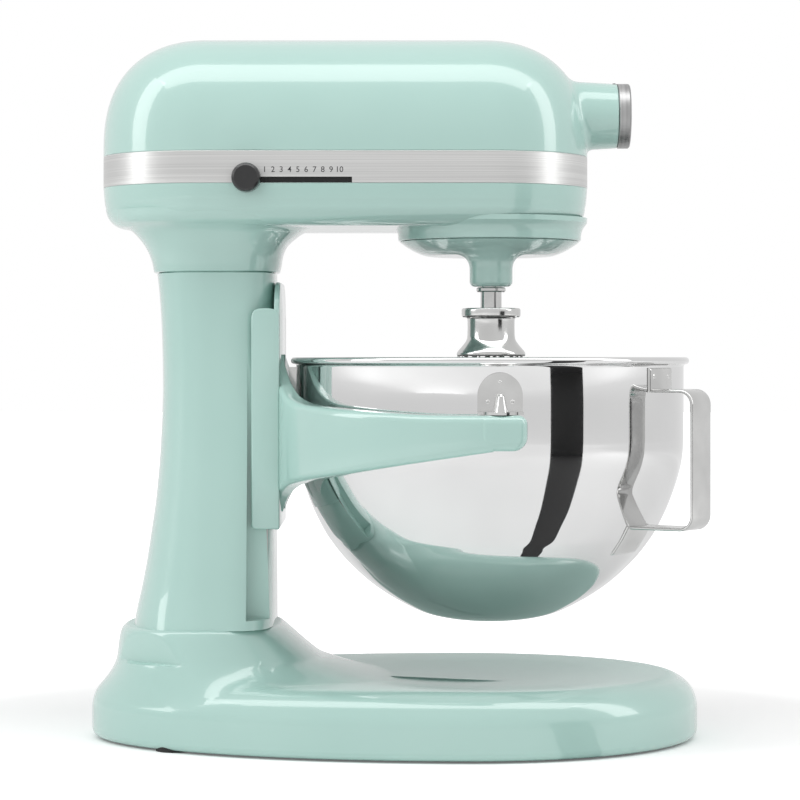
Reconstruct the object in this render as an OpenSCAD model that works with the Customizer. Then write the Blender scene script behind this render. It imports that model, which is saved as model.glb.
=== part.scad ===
// Bowl-lift stand mixer: enamelled die-cast stand, planetary head, steel bowl on a sliding support.
// X points to the front (bowl side), Y to the lever side, Z up; millimetres; the feet stand on Z = 0.

/* [Base] */
// length from the centre of the bowl area to the front edge of the base
base_front = 137; // [110:1:150]
// length from the same line to the rear edge
base_rear = 227.8; // [200:0.1:240]
// half width of the base
base_half = 117; // [95:1:130]
// height of the base slab
base_top = 38.7; // [32:0.1:44]
// radius of the dish under the bowl
dish_r = 92; // [70:1:96]
// depth of the dish
dish_deep = 7; // [3:0.5:9]
// height of the collar that carries the column
collar_top = 69; // [66:1:72]
// height of the rubber feet
foot_h = 3.5; // [2.5:0.5:5]

/* [Head] */
// radius of the head ends seen from above
head_r = 62; // [56:0.5:66]
// rear end centre of the head
head_back = -114; // [-120:1:-104]
// front end centre of the head
head_front = 54; // [50:1:58]
// underside of the head
head_low = 305.5; // [303:0.5:307]
// lower edge of the trim band
band_low = 329.7; // [327:0.1:331]
// upper edge of the trim band
band_high = 348.8; // [346:0.1:352]
// top of the head
head_high = 419.3; // [412:0.1:424]
// wall of the cast housings
wall = 4.6; // [3.5:0.1:6]
// thickness of the trim band
band_t = 1.3; // [0.8:0.1:2]

/* [Bowl] */
// outer radius of the bowl wall
bowl_r = 116.7; // [110:0.1:118]
// sheet thickness of the bowl
bowl_t = 0.9; // [0.7:0.1:1.4]
// width of the handle grip
grip_w = 23; // [18:0.5:27]
// angle of the handle round the bowl
handle_turn = -34; // [-50:1:-20]
// reach of the handle out from the bowl wall
grip_gap = 27.3; // [22:0.1:36]

/* [Drive] */
// distance from the head axis to the beater axis
orbit = 28; // [28:0.1:28]
// module of the planetary gears
planet_m = 1.4; // [1.4:0.1:1.4]
// teeth of the fixed ring gear
ring_teeth = 52; // [52:1:52]
// teeth of the beater pinion
pinion_teeth = 12; // [12:1:12]
// module of the spur pair
spur_m = 1.75; // [1.75:0.05:1.75]
// radius of the attachment bore
hub_bore = 15.25; // [14:0.05:16]
// depth of the attachment bore
hub_deep = 28; // [20:1:28]
// number of whisk loops
wire_loops = 11; // [7:1:13]
// whisk wire diameter
wire_d = 2; // [1.6:0.1:2.4]
// largest radius of the whisk
whisk_r = 52; // [44:1:54]

/* [Fits] */
// radial running clearance of shafts
run_gap = 0.06; // [0.03:0.01:0.1]
// clearance of sliding pieces
slide_gap = 0.4; // [0.3:0.05:0.6]
// gap between seated castings and their set-in pieces
seat_gap = 0.02; // [0.01:0.01:0.05]
// travel of the bowl support
lift_travel = 36; // [30:1:36]
// radius of the lift crank
crank_r = 28; // [28:1:28]

/* [Hidden] */
axis_x = 57;
plan_x = 45;
beater_y = -orbit;
seam = 339.2;
band_in = head_r - band_t;
front_face = -71.8;
shaft_x = -118;
shaft_z = 185;
hub_z = 374;
mint = [0.66, 0.83, 0.79];
steel = [0.78, 0.78, 0.77];
dark = [0.08, 0.08, 0.09];
brass = [0.75, 0.6, 0.3];
copper = [0.72, 0.42, 0.22];
$fn = 48;

// closed solid through a list of equal rings
module skin(rings) {
  n = len(rings[0]);
  m = len(rings);
  sides = [
    for (i = [0:m - 2], j = [0:n - 1], h = [0, 1])
      let(a = i * n + j, b = i * n + (j + 1) % n)
        h == 0 ? [b, a, b + n] : [a, a + n, b + n]
  ];
  low = [[for (j = [0:n - 1]) j]];
  high = [[for (j = [n - 1:-1:0]) (m - 1) * n + j]];
  polyhedron(points = [for (r = rings, p = r) p], faces = concat(sides, low, high));
}

// value of a short table of pairs, linear between them
function at(t, x) = lookup(x, t);

// power with sign
function spow(v, p) = sign(v) * pow(abs(v), p);

// oval ring whose rear half and front half differ in length and squareness
function oval(xr, xf, xc, hw, nr, nf, z, n) = [
  for (i = [0:n - 1])
    let(a = 360 * i / n, c = cos(a), s = sin(a), k = c > 0 ? nf : nr)
      [xc + (c > 0 ? xf - xc : xc - xr) * spow(c, 2 / k), hw * spow(s, 2 / k), z]
];

// stadium between the two head ends
module stadium(r, h) {
  translate([head_back, 0, 0])
    cylinder(r = r, h = h, $fn = 96);
  translate([head_front, 0, 0])
    cylinder(r = r, h = h, $fn = 96);
  translate([head_back, -r, 0])
    cube([head_front - head_back, 2 * r, h]);
}

// solid whose plan is the stadium and whose edge follows a profile of [radius, height]
module stadium_form(profile) {
  for (x = [head_back, head_front])
    translate([x, 0, 0])
      rotate_extrude($fn = 96)
        polygon(concat([[0, profile[0][1]]], profile, [[0, profile[len(profile) - 1][1]]]));
  translate([head_back, 0, 0])
    rotate([90, 0, 90])
      linear_extrude(head_front - head_back)
        polygon(concat(profile, [for (i = [len(profile) - 1:-1:0]) [-profile[i][0], profile[i][1]]]));
}

// rod along X
module rod_x(x0, x1, r, y, z) {
  translate([x0, y, z])
    rotate([0, 90, 0])
      cylinder(r = r, h = x1 - x0);
}

// rod along Y
module rod_y(y0, y1, r, x, z) {
  translate([x, y1, z])
    rotate([90, 0, 0])
      cylinder(r = r, h = y1 - y0);
}

// rod along Z
module rod_z(z0, z1, r, x, y) {
  translate([x, y, z0])
    cylinder(r = r, h = z1 - z0);
}

/* ---------- base ---------- */

function base_ring(inset, z, n = 56) = oval(plan_x - base_rear + inset, plan_x + base_front - inset, plan_x, base_half - inset, 2, 2, z, n);
function round_in(r, d) = r - sqrt(max(0, r * r - d * d));
slab_r = 20;
slab_edge = base_top - slab_r;
bolt_spots = [[-141, 18], [-141, -18], [-98, 46], [-98, -46]];
foot_spots = [[150, 0], [62, 88], [62, -88], [-128, 62], [-128, -62]];

module slab() {
  low = [for (d = [5, 2.5, 0]) base_ring(round_in(5, d), foot_h + 5 - d)];
  high = [for (a = [0, 25, 45, 65, 90]) base_ring(slab_r * (1 - cos(a)), slab_edge + slab_r * sin(a))];
  skin(concat(low, high));
}

// height, rear, front, half width, least distance inside the edge of the slab
collar_rows = [
  [22, -180, 6, 84, 1.2], [30, -176.6, -12, 82, 4.5], [35, -173.2, -22, 78.5, 6.5], [39.3, -170.8, -29, 75.5, 8], [45.3, -168.2, -39, 72, 10],
  [51.4, -167, -47.6, 69.4, 11], [57.4, -166.4, -55, 67.6, 11.5], [63.5, -165.4, -62, 66, 11.5], [67, -163.4, -66.5, 64.8, 11.5], [collar_top, -160, -70, 63, 12]
];

// half width of the slab at x, a distance d inside its edge
function slab_half(x, d) = (base_half - d) * sqrt(max(0, 1 - pow((plan_x - x) / (base_rear - d), 2)));

module collar() {
  skin([
    for (r = collar_rows)
      [for (p = oval(r[1], r[2], -110, r[3], 2.3, 2.4, r[0], 48)) [p[0], sign(p[1]) * min(abs(p[1]), slab_half(p[0], r[4])), p[2]]]
  ]);
}

module base_casting() {
  color(mint)
    difference() {
      union() {
        difference() {
          slab();
          intersection() {
            translate([axis_x, 0, base_top - dish_deep + (dish_r * dish_r + dish_deep * dish_deep) / (2 * dish_deep)])
              sphere(r = (dish_r * dish_r + dish_deep * dish_deep) / (2 * dish_deep), $fn = 180);
            rod_z(20, 60, dish_r + 1, axis_x, 0);
          }
        }
        collar();
      }
      difference() {
        translate([0, 0, foot_h - 1])
          linear_extrude(base_top - dish_deep - 6 - foot_h + 1)
            polygon([for (p = base_ring(9, 0, 40)) [p[0], p[1]]]);
        for (p = concat(foot_spots, bolt_spots))
          rod_z(0, 40, 13, p[0], p[1]);
        for (y = [-40, 40])
          translate([-120, y - 2, 0])
            cube([240, 4, 40]);
      }
      for (p = foot_spots)
        rod_z(0, foot_h + 8, 5 + seat_gap, p[0], p[1]);
      for (p = bolt_spots) {
        rod_z(0, collar_top + 1, 4.2, p[0], p[1]);
        rod_z(0, 30, 8, p[0], p[1]);
      }
    }
}

module rubber_feet() {
  color(dark)
    for (p = foot_spots) {
      rod_z(0, foot_h, 11, p[0], p[1]);
      rod_z(foot_h - 0.5, foot_h + 7.5, 5, p[0], p[1]);
    }
}

/* ---------- column ---------- */

column_top = 279;
// height, rear, half width
column_rows = [
  [collar_top, -156.8, 62], [78, -155.3, 59.8], [90, -152.6, 57.4], [106, -149.5, 55], [124, -146.7, 52.4],
  [146, -143.6, 49.6], [178, -141, 46], [212, -139.8, 42.8], [240, -140.4, 41], [262, -141.6, 40.3], [column_top, -143.3, 40]
];
rail_low = 74.5;
rail_high = 262;
rail_y = 40.4;

module column_casting() {
  color(mint)
    difference() {
      skin([for (r = column_rows) oval(r[1], front_face, -110, r[2], 2.5, 4, r[0], 44)]);
      // guide recesses at both sides of the front
      for (s = [-1, 1])
        translate([-87, s > 0 ? rail_y : -rail_y - 40, rail_low])
          cube([30, 40, rail_high - rail_low]);
      // cavity of the lift
      translate([-129, -26, collar_top - 1])
        cube([43, 52, 194]);
      // slot for the lift bracket
      translate([-90, -9, 128])
        cube([30, 18, 122]);
      // bore of the lift shaft
      rod_y(20, 60, 8 + seat_gap, shaft_x, shaft_z);
      rod_y(-34, -20, 5 + run_gap, shaft_x, shaft_z);
      for (p = bolt_spots)
        rod_z(collar_top - 1, 92, 4 + seat_gap, p[0], p[1]);
      // pockets of the rails
      for (s = [-1, 1])
        translate([-84 - seat_gap, s > 0 ? 37.4 : -rail_y, rail_low + 2])
          cube([9 + 2 * seat_gap, 3, 150]);
      for (p = neck_spots)
        rod_z(255, column_top + 1, 3 + seat_gap, p[0], p[1]);
    }
}

module column_bolts() {
  color(steel)
    for (p = bolt_spots) {
      rod_z(24, 30 - seat_gap, 6.5, p[0], p[1]);
      rod_z(29, 90, 4, p[0], p[1]);
    }
}

module guide_rails() {
  color(steel)
    for (s = [-1, 1])
      difference() {
        translate([-84, s > 0 ? 37.4 + seat_gap : -rail_y + 0.2, rail_low + 2 + seat_gap])
          cube([9, 2.8 - seat_gap, 150 - 2 * seat_gap]);
        for (z = [84, 150, 216])
          rod_y(-45, 45, 1.6, -79.5, z);
      }
}

module lift_bush() {
  color(brass)
    difference() {
      rod_y(22, 47.5, 8, shaft_x, shaft_z);
      rod_y(20, 60, 5 + run_gap, shaft_x, shaft_z);
    }
}

/* ---------- head ---------- */

neck_spots = [[-128, 24], [-128, -24], [-84, 24], [-84, -24]];
boss_low = 298.3;
// height, rear, front, half width
neck_rows = [
  [column_top, -145.4, -70, 40.2], [283, -146, -69, 40.4], [289, -147.8, -68, 41.2], [295, -150.8, -65.6, 43],
  [300, -154.6, -60.6, 45.8], [304, -158.6, -54.8, 49], [307.5, -163, -48, 53]
];

module low_form(inset) {
  profile = [
    [head_r - 13, head_low], [head_r - 8, head_low + 0.9], [head_r - 4.2, head_low + 3.7],
    [head_r - 1.9, head_low + 8.5], [head_r - 0.7, head_low + 16], [head_r, band_low]
  ];
  stadium_form([for (p = profile) [p[0] - inset, p[1]]]);
}

module gearcase_housing() {
  color(mint)
    difference() {
      union() {
        low_form(0);
        translate([0, 0, band_low])
          stadium(band_in, seam - band_low);
        skin([for (r = neck_rows) oval(r[1], r[2], -108, r[3], 2.4, 3, r[0], 44)]);
        // boss over the planetary housing with a soft root
        translate([axis_x, 0, 0])
          rotate_extrude($fn = 96)
            polygon([[0, boss_low], [53.6, boss_low], [54.9, boss_low + 1], [55.6, 302], [57, 304.2], [59, head_low + 0.6], [59, 312], [0, 312]]);
      }
      difference() {
        translate([0, 0, 318])
          stadium(head_r - wall - 1, 30);
        for (p = case_spots)
          rod_z(300, 340, 6, p[0], p[1]);
      }
      // recess of the ring gear
      rod_z(boss_low - 1, 312, 41.5 + seat_gap, axis_x, 0);
      // seat of the centre bearing
      rod_z(300, 322, 11 + seat_gap, axis_x, 0);
      // seat of the cross-shaft bearing
      rod_z(312, 322, 6 + seat_gap, cross_x, cross_y);
      // lightening of the neck
      translate([-122, -20, 270])
        cube([34, 40, 34]);
      for (p = neck_spots) {
        rod_z(270, 330, 3.3, p[0], p[1]);
        rod_z(300, 330, 6, p[0], p[1]);
      }
      for (p = case_spots) {
        rod_z(300, 345, 2.2, p[0], p[1]);
        rod_z(300, 314, 4, p[0], p[1]);
      }
      speed_slot();
    }
}

module speed_slot() {
  translate([-93.5, -70, 330])
    cube([68.5, 20, 3.4]);
}

case_spots = [[-150, 30], [-150, -30], [-10, 51.5], [-10, -51.5], [104, 20], [104, -20]];

function dome_r(z) = head_r * pow(max(0, 1 - pow(max(0, z - 350) / (head_high - 350), 2.6)), 1 / 2.2);
dome_cuts = [350, 362, 372, 381, 389, 396, 402, 407, 411, 414, 416.4, 418, 419, head_high];

module dome(inset) {
  stadium_form(concat(
    [[head_r - inset, band_high]],
    [for (z = dome_cuts) if (z < head_high) [max(0.01, dome_r(z) - inset), z - inset * pow((z - 350) / (head_high - 350), 2)]],
    [[0.01, head_high - inset]]
  ));
}

snout_r = 19.4;
snout_end = 133.9;
hinge_x = snout_end - 1.9;
hinge_z = hub_z + 17.6;

module motor_housing() {
  color(mint)
    difference() {
      union() {
        translate([0, 0, seam])
          stadium(band_in, band_high - seam + 0.01);
        dome(0);
        translate([98, 0, hub_z])
          rotate([0, 90, 0])
            rotate_extrude($fn = 72)
              polygon([[0, 0], [27.5, 0], [25.4, 9], [23.4, 13.6], [22, 17], [21.2, 20.5], [20.4, 26], [snout_r, snout_end - 99], [snout_r - 0.7, snout_end - 98], [0, snout_end - 98]]);
      }
      difference() {
        union() {
          translate([0, 0, seam - 1])
            stadium(head_r - wall - 1, band_high - seam + 1.02);
          dome(wall + 1);
        }
        for (p = case_spots)
          rod_z(330, 356, 6, p[0], p[1]);
        rod_x(84, 125, 20.5, 0, hub_z);
      }
      rod_x(snout_end - hub_deep, 140, hub_bore, 0, hub_z);
      rod_x(80, 110, 9 + seat_gap, 0, hub_z);
      for (p = case_spots)
        rod_z(330, 354, 2 + seat_gap, p[0], p[1]);
      // thread of the thumb knob
      rod_y(12, 40, 3 + run_gap, 124, hub_z);
      // groove and bore of the cap hinge
      translate([snout_end - 4.3, -4 - slide_gap, hub_z + 15])
        cube([10, 8 + 2 * slide_gap, 10]);
      rod_y(-5.2, 5.2, 0.9 + seat_gap, hinge_x, hinge_z);
      speed_slot();
    }
}

module trim_band() {
  color(steel)
    difference() {
      translate([0, 0, band_low + 0.05])
        stadium(head_r, band_high - band_low - 0.1);
      translate([0, 0, band_low - 1])
        stadium(band_in + seat_gap, 30);
      speed_slot();
    }
}

module housing_screws() {
  color(steel)
    for (p = case_spots) {
      rod_z(308, 314 - seat_gap, 3.7, p[0], p[1]);
      rod_z(313, 352, 2, p[0], p[1]);
    }
}

module neck_screws() {
  color(steel)
    for (p = neck_spots) {
      rod_z(300 + seat_gap, 305, 5.5, p[0], p[1]);
      rod_z(257, 301, 3, p[0], p[1]);
    }
}

module ring_gear() {
  color(steel)
    difference() {
      rod_z(301, 312 - seat_gap, 41.5, axis_x, 0);
      translate([axis_x, 0, 300])
        linear_extrude(14)
          gear_outline(planet_m, ring_teeth, 1.25, 0.9, -0.2);
    }
}

/* ---------- gears ---------- */

cross_y = 31;
cross_x = axis_x - sqrt(52.5 * 52.5 - cross_y * cross_y);
worm_z = 366;
worm_lead = 2 * PI * spur_m;

function involute(a) = tan(a) * 180 / PI - a;

// half tooth angle at radius r
function tooth_half(m, z, r, gap) =
  let(rp = m * z / 2, rb = rp * cos(20), q = max(r, rb))
    90 / z - gap * 90 / (PI * rp) + involute(20) - involute(acos(rb / q));

// outline of a spur gear: addendum, dedendum in modules, gap thins each tooth
module gear_outline(m, z, add, ded, gap) {
  rp = m * z / 2;
  rows = [rp - ded * m, rp - 0.3 * m, rp + 0.35 * m, rp + add * m];
  polygon([
    for (t = [0:z - 1], s = [-1, 1], i = [0:3])
      let(r = rows[s < 0 ? i : 3 - i], a = 360 * t / z + s * tooth_half(m, z, r, gap))
        [r * cos(a), r * sin(a)]
  ]);
}

// bevel gear under its apex: pitch radius, depth of the pitch circle, teeth, thinning
module bevel_gear(rp, depth, teeth, gap, face, back, bore) {
  len = sqrt(rp * rp + depth * depth);
  n = [depth / len, rp / len];
  m = 2 * rp / teeth;
  k = (len - face) / len;
  ro = [rp - 1.2 * m * n[0], -depth - 1.2 * m * n[1]];
  half = (PI * m / 2 - gap) / 2;
  difference() {
    union() {
      rotate_extrude($fn = 48)
        polygon([[0, -depth - back], [ro[0] - 2, -depth - back], [ro[0] * 1.02, ro[1] - 1.5], ro * 1.02, ro * k * 0.97, [0, ro[1] * k * 0.97]]);
      for (t = [0:teeth - 1])
        rotate([0, 0, 360 * t / teeth]) {
          rows = [[-1.35, half + 0.5 * m], [0, half], [0.85, half - 0.33 * m]];
          outer = concat(
            [for (r = rows) [rp + r[0] * m * n[0], r[1], -depth + r[0] * m * n[1]]],
            [for (i = [2:-1:0]) let(r = rows[i]) [rp + r[0] * m * n[0], -r[1], -depth + r[0] * m * n[1]]]
          );
          skin([[for (p = outer) p * k], outer]);
        }
    }
    translate([0, 0, -100])
      cylinder(r = bore, h = 200);
  }
}

// worm thread along X, centred on its own middle
module worm_thread(length, root, tip, starts) {
  steps = 16;
  turns = length / worm_lead;
  count = ceil(turns * steps);
  for (s = [0:starts - 1])
    skin([
      for (i = [0:count])
        let(a = 360 * i / steps, x = -length / 2 + worm_lead * i / steps, b = a - 180 * length / worm_lead + 360 * s / starts)
          [
            [x - 1.75, root * cos(b), root * sin(b)], [x + 1.75, root * cos(b), root * sin(b)],
            [x + 0.65, tip * cos(b), tip * sin(b)], [x - 0.65, tip * cos(b), tip * sin(b)]
          ]
    ]);
}

/* ---------- motor ---------- */

module motor_stator() {
  color([0.5, 0.5, 0.52])
    difference() {
      union() {
        rod_x(-128, -72, 41, 0, worm_z);
        for (x = [-124, -84])
          translate([x, -24, 318])
            cube([8, 48, 16]);
      }
      rod_x(-130, -70, 25.6, 0, worm_z);
      for (s = [-1, 1])
        translate([-130, s > 0 ? 36 : -56, worm_z - 60])
          cube([60, 20, 120]);
      // winding windows
      for (s = [-1, 1])
        translate([-130, -16, worm_z + (s > 0 ? 24 : -34)])
          cube([60, 32, 10]);
    }
}

module motor_windings() {
  color(copper)
    for (s = [-1, 1])
      difference() {
        translate([-136, -15.5, worm_z + (s > 0 ? 26 : -33)])
          cube([72, 31, 7]);
        translate([-127, -6, worm_z - 50])
          cube([54, 12, 100]);
      }
}

module bearing_plate(x, t, r, half) {
  difference() {
    union() {
      rod_x(x, x + t, r + 6, 0, worm_z);
      translate([x, -half, 318])
        cube([t, 2 * half, 30]);
      translate([x, -12, 330])
        cube([t, 24, 30]);
    }
    rod_x(x - 1, x + t + 1, r + run_gap, 0, worm_z);
  }
}

module rear_bearing() {
  color([0.6, 0.6, 0.62])
    bearing_plate(-152, 6, 4, 20);
}

module front_bearing() {
  color([0.6, 0.6, 0.62])
    bearing_plate(-36, 6, 5, 38);
}

module brush_holders() {
  color(brass)
    for (s = [-1, 1]) {
      translate([-58, s > 0 ? 12.6 : -27.6, worm_z - 4])
        cube([9, 15, 8]);
      translate([-57, s > 0 ? 22 : -28, 318])
        cube([7, 6, worm_z - 318]);
    }
}

module armature_shaft() {
  color(steel) {
    rod_x(-153, -34, 4, 0, worm_z);
    rod_x(-42, 2, 5, 0, worm_z);
    rod_x(1, 31, 5, 0, worm_z);
  }
}

module armature_core() {
  color([0.42, 0.42, 0.45])
    difference() {
      rod_x(-127, -73, 25, 0, worm_z);
      rod_x(-130, -70, 4 + seat_gap, 0, worm_z);
      for (a = [0:30:330])
        translate([0, 0, worm_z])
          rotate([a, 0, 0])
            translate([-130, -1.5, 17])
              cube([60, 3, 12]);
    }
}

module commutator() {
  color(copper)
    difference() {
      rod_x(-62, -46, 12, 0, worm_z);
      rod_x(-63, -42.5, 4 + seat_gap, 0, worm_z);
    }
}

module cooling_fan() {
  color(dark)
    difference() {
      union() {
        rod_x(-145, -136.5, 10, 0, worm_z);
        for (a = [0:45:315])
          translate([0, 0, worm_z])
            rotate([a, 0, 0])
              translate([-144, -1, 9])
                cube([7, 2, 19]);
      }
      rod_x(-150, -130, 4 + seat_gap, 0, worm_z);
    }
}

module worm() {
  color(steel)
    difference() {
      union() {
        translate([0, 0, worm_z])
          translate([cross_x, 0, 0])
            rotate([worm_turn, 0, 0])
              worm_thread(22, 7.4, 11.5, 2);
        rod_x(2.4, 27, 8, 0, worm_z);
      }
      rod_x(0, 40, 5 + seat_gap, 0, worm_z);
    }
}
// turn that puts a thread gap opposite the wheel tooth
worm_turn = 90;

module cross_shaft() {
  color(steel) {
    rod_z(313, 375, 4, cross_x, cross_y);
    rod_z(348.5, 360, 6.5, cross_x, cross_y);
  }
}

module worm_wheel() {
  color(brass)
    difference() {
      translate([cross_x, cross_y, worm_z - 3])
        rotate([0, 0, 1.43 * -1])
          linear_extrude(6, twist = -2.86, slices = 2)
            gear_outline(spur_m, 24, 0.85, 1.25, 0.45);
      rod_z(330, 400, 4 + seat_gap, cross_x, cross_y);
    }
}

module cross_pinion() {
  color(steel)
    difference() {
      translate([cross_x, cross_y, 337])
        rotate([0, 0, pinion_turn])
          linear_extrude(11)
            gear_outline(spur_m, 20, 0.9, 1.25, 0.3);
      rod_z(330, 360, 4 + seat_gap, cross_x, cross_y);
    }
}
// turn that puts a pinion gap on the line to the centre gear
pinion_turn = atan2(-cross_y, axis_x - cross_x) + 9;

module cross_bearing() {
  color(brass)
    difference() {
      union() {
        rod_z(312 + seat_gap, 322, 6, cross_x, cross_y);
        rod_z(318, 322, 9, cross_x, cross_y);
      }
      rod_z(300, 330, 4 + run_gap, cross_x, cross_y);
    }
}

module speed_board() {
  color([0.1, 0.35, 0.2])
    difference() {
      translate([-102, 26, 318])
        cube([38, 22, 2]);
      rod_z(310, 330, 2, -70, 40);
    }
}

module hub_bearing() {
  color(brass)
    difference() {
      rod_x(84.5, 95.5, 9, 0, hub_z);
      rod_x(80, 110, 5 + run_gap, 0, hub_z);
    }
}

module hub_drive() {
  color(steel)
    difference() {
      union() {
        translate([axis_x, 0, hub_z])
          rotate([0, -90, 0])
            rotate([0, 0, 11.25])
              bevel_gear(12.8, 19.2, 16, 0.4, 6.5, 4, 0.01);
        rod_x(76, 97, 5, 0, hub_z);
        rod_x(96, snout_end - hub_deep - 0.3, 8, 0, hub_z);
      }
      translate([97.5, -4.3, hub_z - 4.3])
        cube([20, 8.6, 8.6]);
    }
}

/* ---------- planetary head ---------- */

module centre_bearing() {
  color(brass)
    difference() {
      union() {
        rod_z(312 + seat_gap, 322, 11, axis_x, 0);
        rod_z(318, 322, 15, axis_x, 0);
      }
      rod_z(300, 330, 7 + run_gap, axis_x, 0);
    }
}

module centre_shaft() {
  color(steel)
    difference() {
      union() {
        rod_z(290.5, 360, 7, axis_x, 0);
        rod_z(359, 362, 5, axis_x, 0);
      }
      rod_x(30, 80, 2 + seat_gap, 0, 293.6);
    }
}

module centre_gear() {
  color(steel)
    difference() {
      translate([axis_x, 0, 338])
        rotate([0, 0, atan2(cross_y, cross_x - axis_x)])
          linear_extrude(9)
            gear_outline(spur_m, 40, 0.9, 1.25, 0.3);
      rod_z(330, 360, 7 + seat_gap, axis_x, 0);
      for (a = [0:60:300])
        rod_z(330, 360, 6, axis_x + 20 * cos(a), 20 * sin(a));
    }
}

module centre_bevel() {
  color(steel)
    translate([axis_x, 0, hub_z])
      bevel_gear(19.2, 12.8, 24, 0.4, 6.5, 6, 7 + seat_gap);
}

planet_r = 54.5;
tube_r = 12.75;

module planetary_housing() {
  color(mint)
    difference() {
      union() {
        translate([axis_x, 0, 0])
          rotate_extrude($fn = 96)
            polygon([[0, 289], [36, 289], [41, 290.2], [45, 292], [49, 294.4], [52, 296.4], [53.6, 297.5], [planet_r - 0.4, 298 - slide_gap + 0.3], [0, 298]]);
        rod_z(297, 300.6, 32, axis_x, 0);
        translate([axis_x, beater_y, 0])
          rotate_extrude($fn = 64)
            polygon([[0, 270.1], [9.6, 270.1], [11.6, 270.8], [12.5, 272.4], [tube_r, 274.5], [tube_r, 282], [13.3, 285.4], [15, 287.6], [18, 289.3], [24, 290.6], [24, 291], [0, 291]]);
      }
      rod_z(280, 310, 7 + seat_gap, axis_x, 0);
      rod_z(260, 310, 6.25 + run_gap, axis_x, beater_y);
      rod_x(axis_x - 22, axis_x + 22, 2 + seat_gap, 0, 293.6);
    }
}

module planetary_pin() {
  color(steel)
    rod_x(axis_x - 21.5, axis_x + 21.5, 2, 0, 293.6);
}

module agitator_shaft() {
  color(steel) {
    rod_z(236, 301.5, 6.25, axis_x, beater_y);
    rod_z(301, 311.6, 5, axis_x, beater_y);
    rod_y(beater_y - 9, beater_y + 9, 1.5, axis_x, 255);
  }
}

module agitator_pinion() {
  color(steel)
    difference() {
      translate([axis_x, beater_y, 302])
        rotate([0, 0, 0])
          linear_extrude(9)
            gear_outline(planet_m, pinion_teeth, 0.85, 1.1, 0.15);
      rod_z(300, 320, 5 + seat_gap, axis_x, beater_y);
    }
}

module shaft_collar() {
  color(steel)
    difference() {
      translate([axis_x, beater_y, 0])
        rotate_extrude()
          polygon([[6.25 + seat_gap, 267], [8, 267], [8.7, 267.7], [8.7, 269.2], [8, 269.8], [6.25 + seat_gap, 269.8]]);
    }
}

/* ---------- whisk ---------- */

module whisk_hub() {
  color(steel)
    difference() {
      translate([axis_x, beater_y, 0])
        rotate_extrude($fn = 64)
          polygon([
            [0, 229], [19.8, 229], [20.4, 229.6], [20.4, 230.8], [18.6, 233.6], [15.6, 237], [14.4, 238.6], [14, 241],
            [14, 251.6], [17, 252.2], [17.5, 252.9], [17.5, 256.8], [16.8, 257.5], [0, 257.5]
          ]);
      rod_z(235, 260, 6.25 + seat_gap, axis_x, beater_y);
      translate([axis_x - 1.8, beater_y - 9.4, 253.2])
        cube([3.6, 18.8, 6]);
      translate([axis_x, beater_y, 0])
        rotate_extrude()
          polygon([[0, 228], [13, 228], [13, 231], [0, 231]]);
    }
}

// centre line of one wire loop: angle from one foot round to the other
wire_rows = [
  [0, 229, 19], [0.06, 222, 22.5], [0.14, 205, 30.5], [0.22, 186, 39.5], [0.3, 166, 47.5], [0.37, 147, 52], [0.44, 128, 50],
  [0.5, 112, 41.5], [0.55, 101.5, 29], [0.59, 96, 15], [0.62, 94.5, 0]
];

module whisk_wires() {
  color(steel)
    for (i = [0:wire_loops - 1])
      let(lift = (i - (wire_loops - 1) / 2) * 0.55, k = whisk_r / 52, turn = 360 * i / wire_loops)
        translate([axis_x, beater_y, 0])
          rotate([0, 0, turn])
            skin(wire_rings(k, lift));
}

// points [across, height] of a loop, outer foot to inner foot
function wire_path(k, lift) = concat(
  [for (r = wire_rows) [-r[2] * k, r[1] + (r[1] < 150 ? lift * (150 - r[1]) / 55 : 0)]],
  [for (i = [len(wire_rows) - 2:-1:0]) let(r = wire_rows[i], q = r[1] > 150 ? 1 - 0.21 * (r[1] - 150) / 80 : 1)
    [r[2] * k * q, r[1] + (r[1] < 150 ? lift * (150 - r[1]) / 55 : 0)]]
);

function wire_rings(k, lift) =
  let(p = wire_path(k, lift), n = len(p))
    [
      for (i = [0:n - 1])
        let(
          a = p[max(0, i - 1)], b = p[min(n - 1, i + 1)], d = b - a, l = norm(d), t = [-d[1] / l, d[0] / l],
          w = i == 0 || i == n - 1 ? [1, 0] : t
        )
          [for (j = [0:5]) [
            p[i][0] + wire_d / 2 * cos(60 * j) * (i == 0 ? 1 : i == n - 1 ? -1 : 1) * w[0],
            -wire_d / 2 * sin(60 * j),
            p[i][1] + wire_d / 2 * cos(60 * j) * w[1]
          ]]
    ];

/* ---------- bowl ---------- */

// height and outer radius of the wall
bowl_k = bowl_r / 116.7;
bowl_rows = [
  [70.7, 20 * bowl_k], [71.4, 28 * bowl_k], [75, 41.1 * bowl_k], [81.6, 54.7 * bowl_k], [87.7, 64.7 * bowl_k], [93.7, 72.9 * bowl_k],
  [99.8, 79.8 * bowl_k], [105.8, 85.9 * bowl_k], [111.9, 91.3 * bowl_k], [117.9, 95.5 * bowl_k], [124, 99.8 * bowl_k],
  [136, 105.8 * bowl_k], [148.1, 110.6 * bowl_k], [160.2, 114.3 * bowl_k], [178, bowl_r], [224.4, bowl_r]
];
grip_reach = bowl_r + grip_gap;

// height where the turned wall leaves the rounded bottom, as a row of bowl_rows
bottom_row = 8;

function wall_point(i) = [bowl_rows[i][1] - bowl_t, bowl_rows[i][0] + bowl_t * (i < 9 ? 0.9 : 0.2)];

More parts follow.
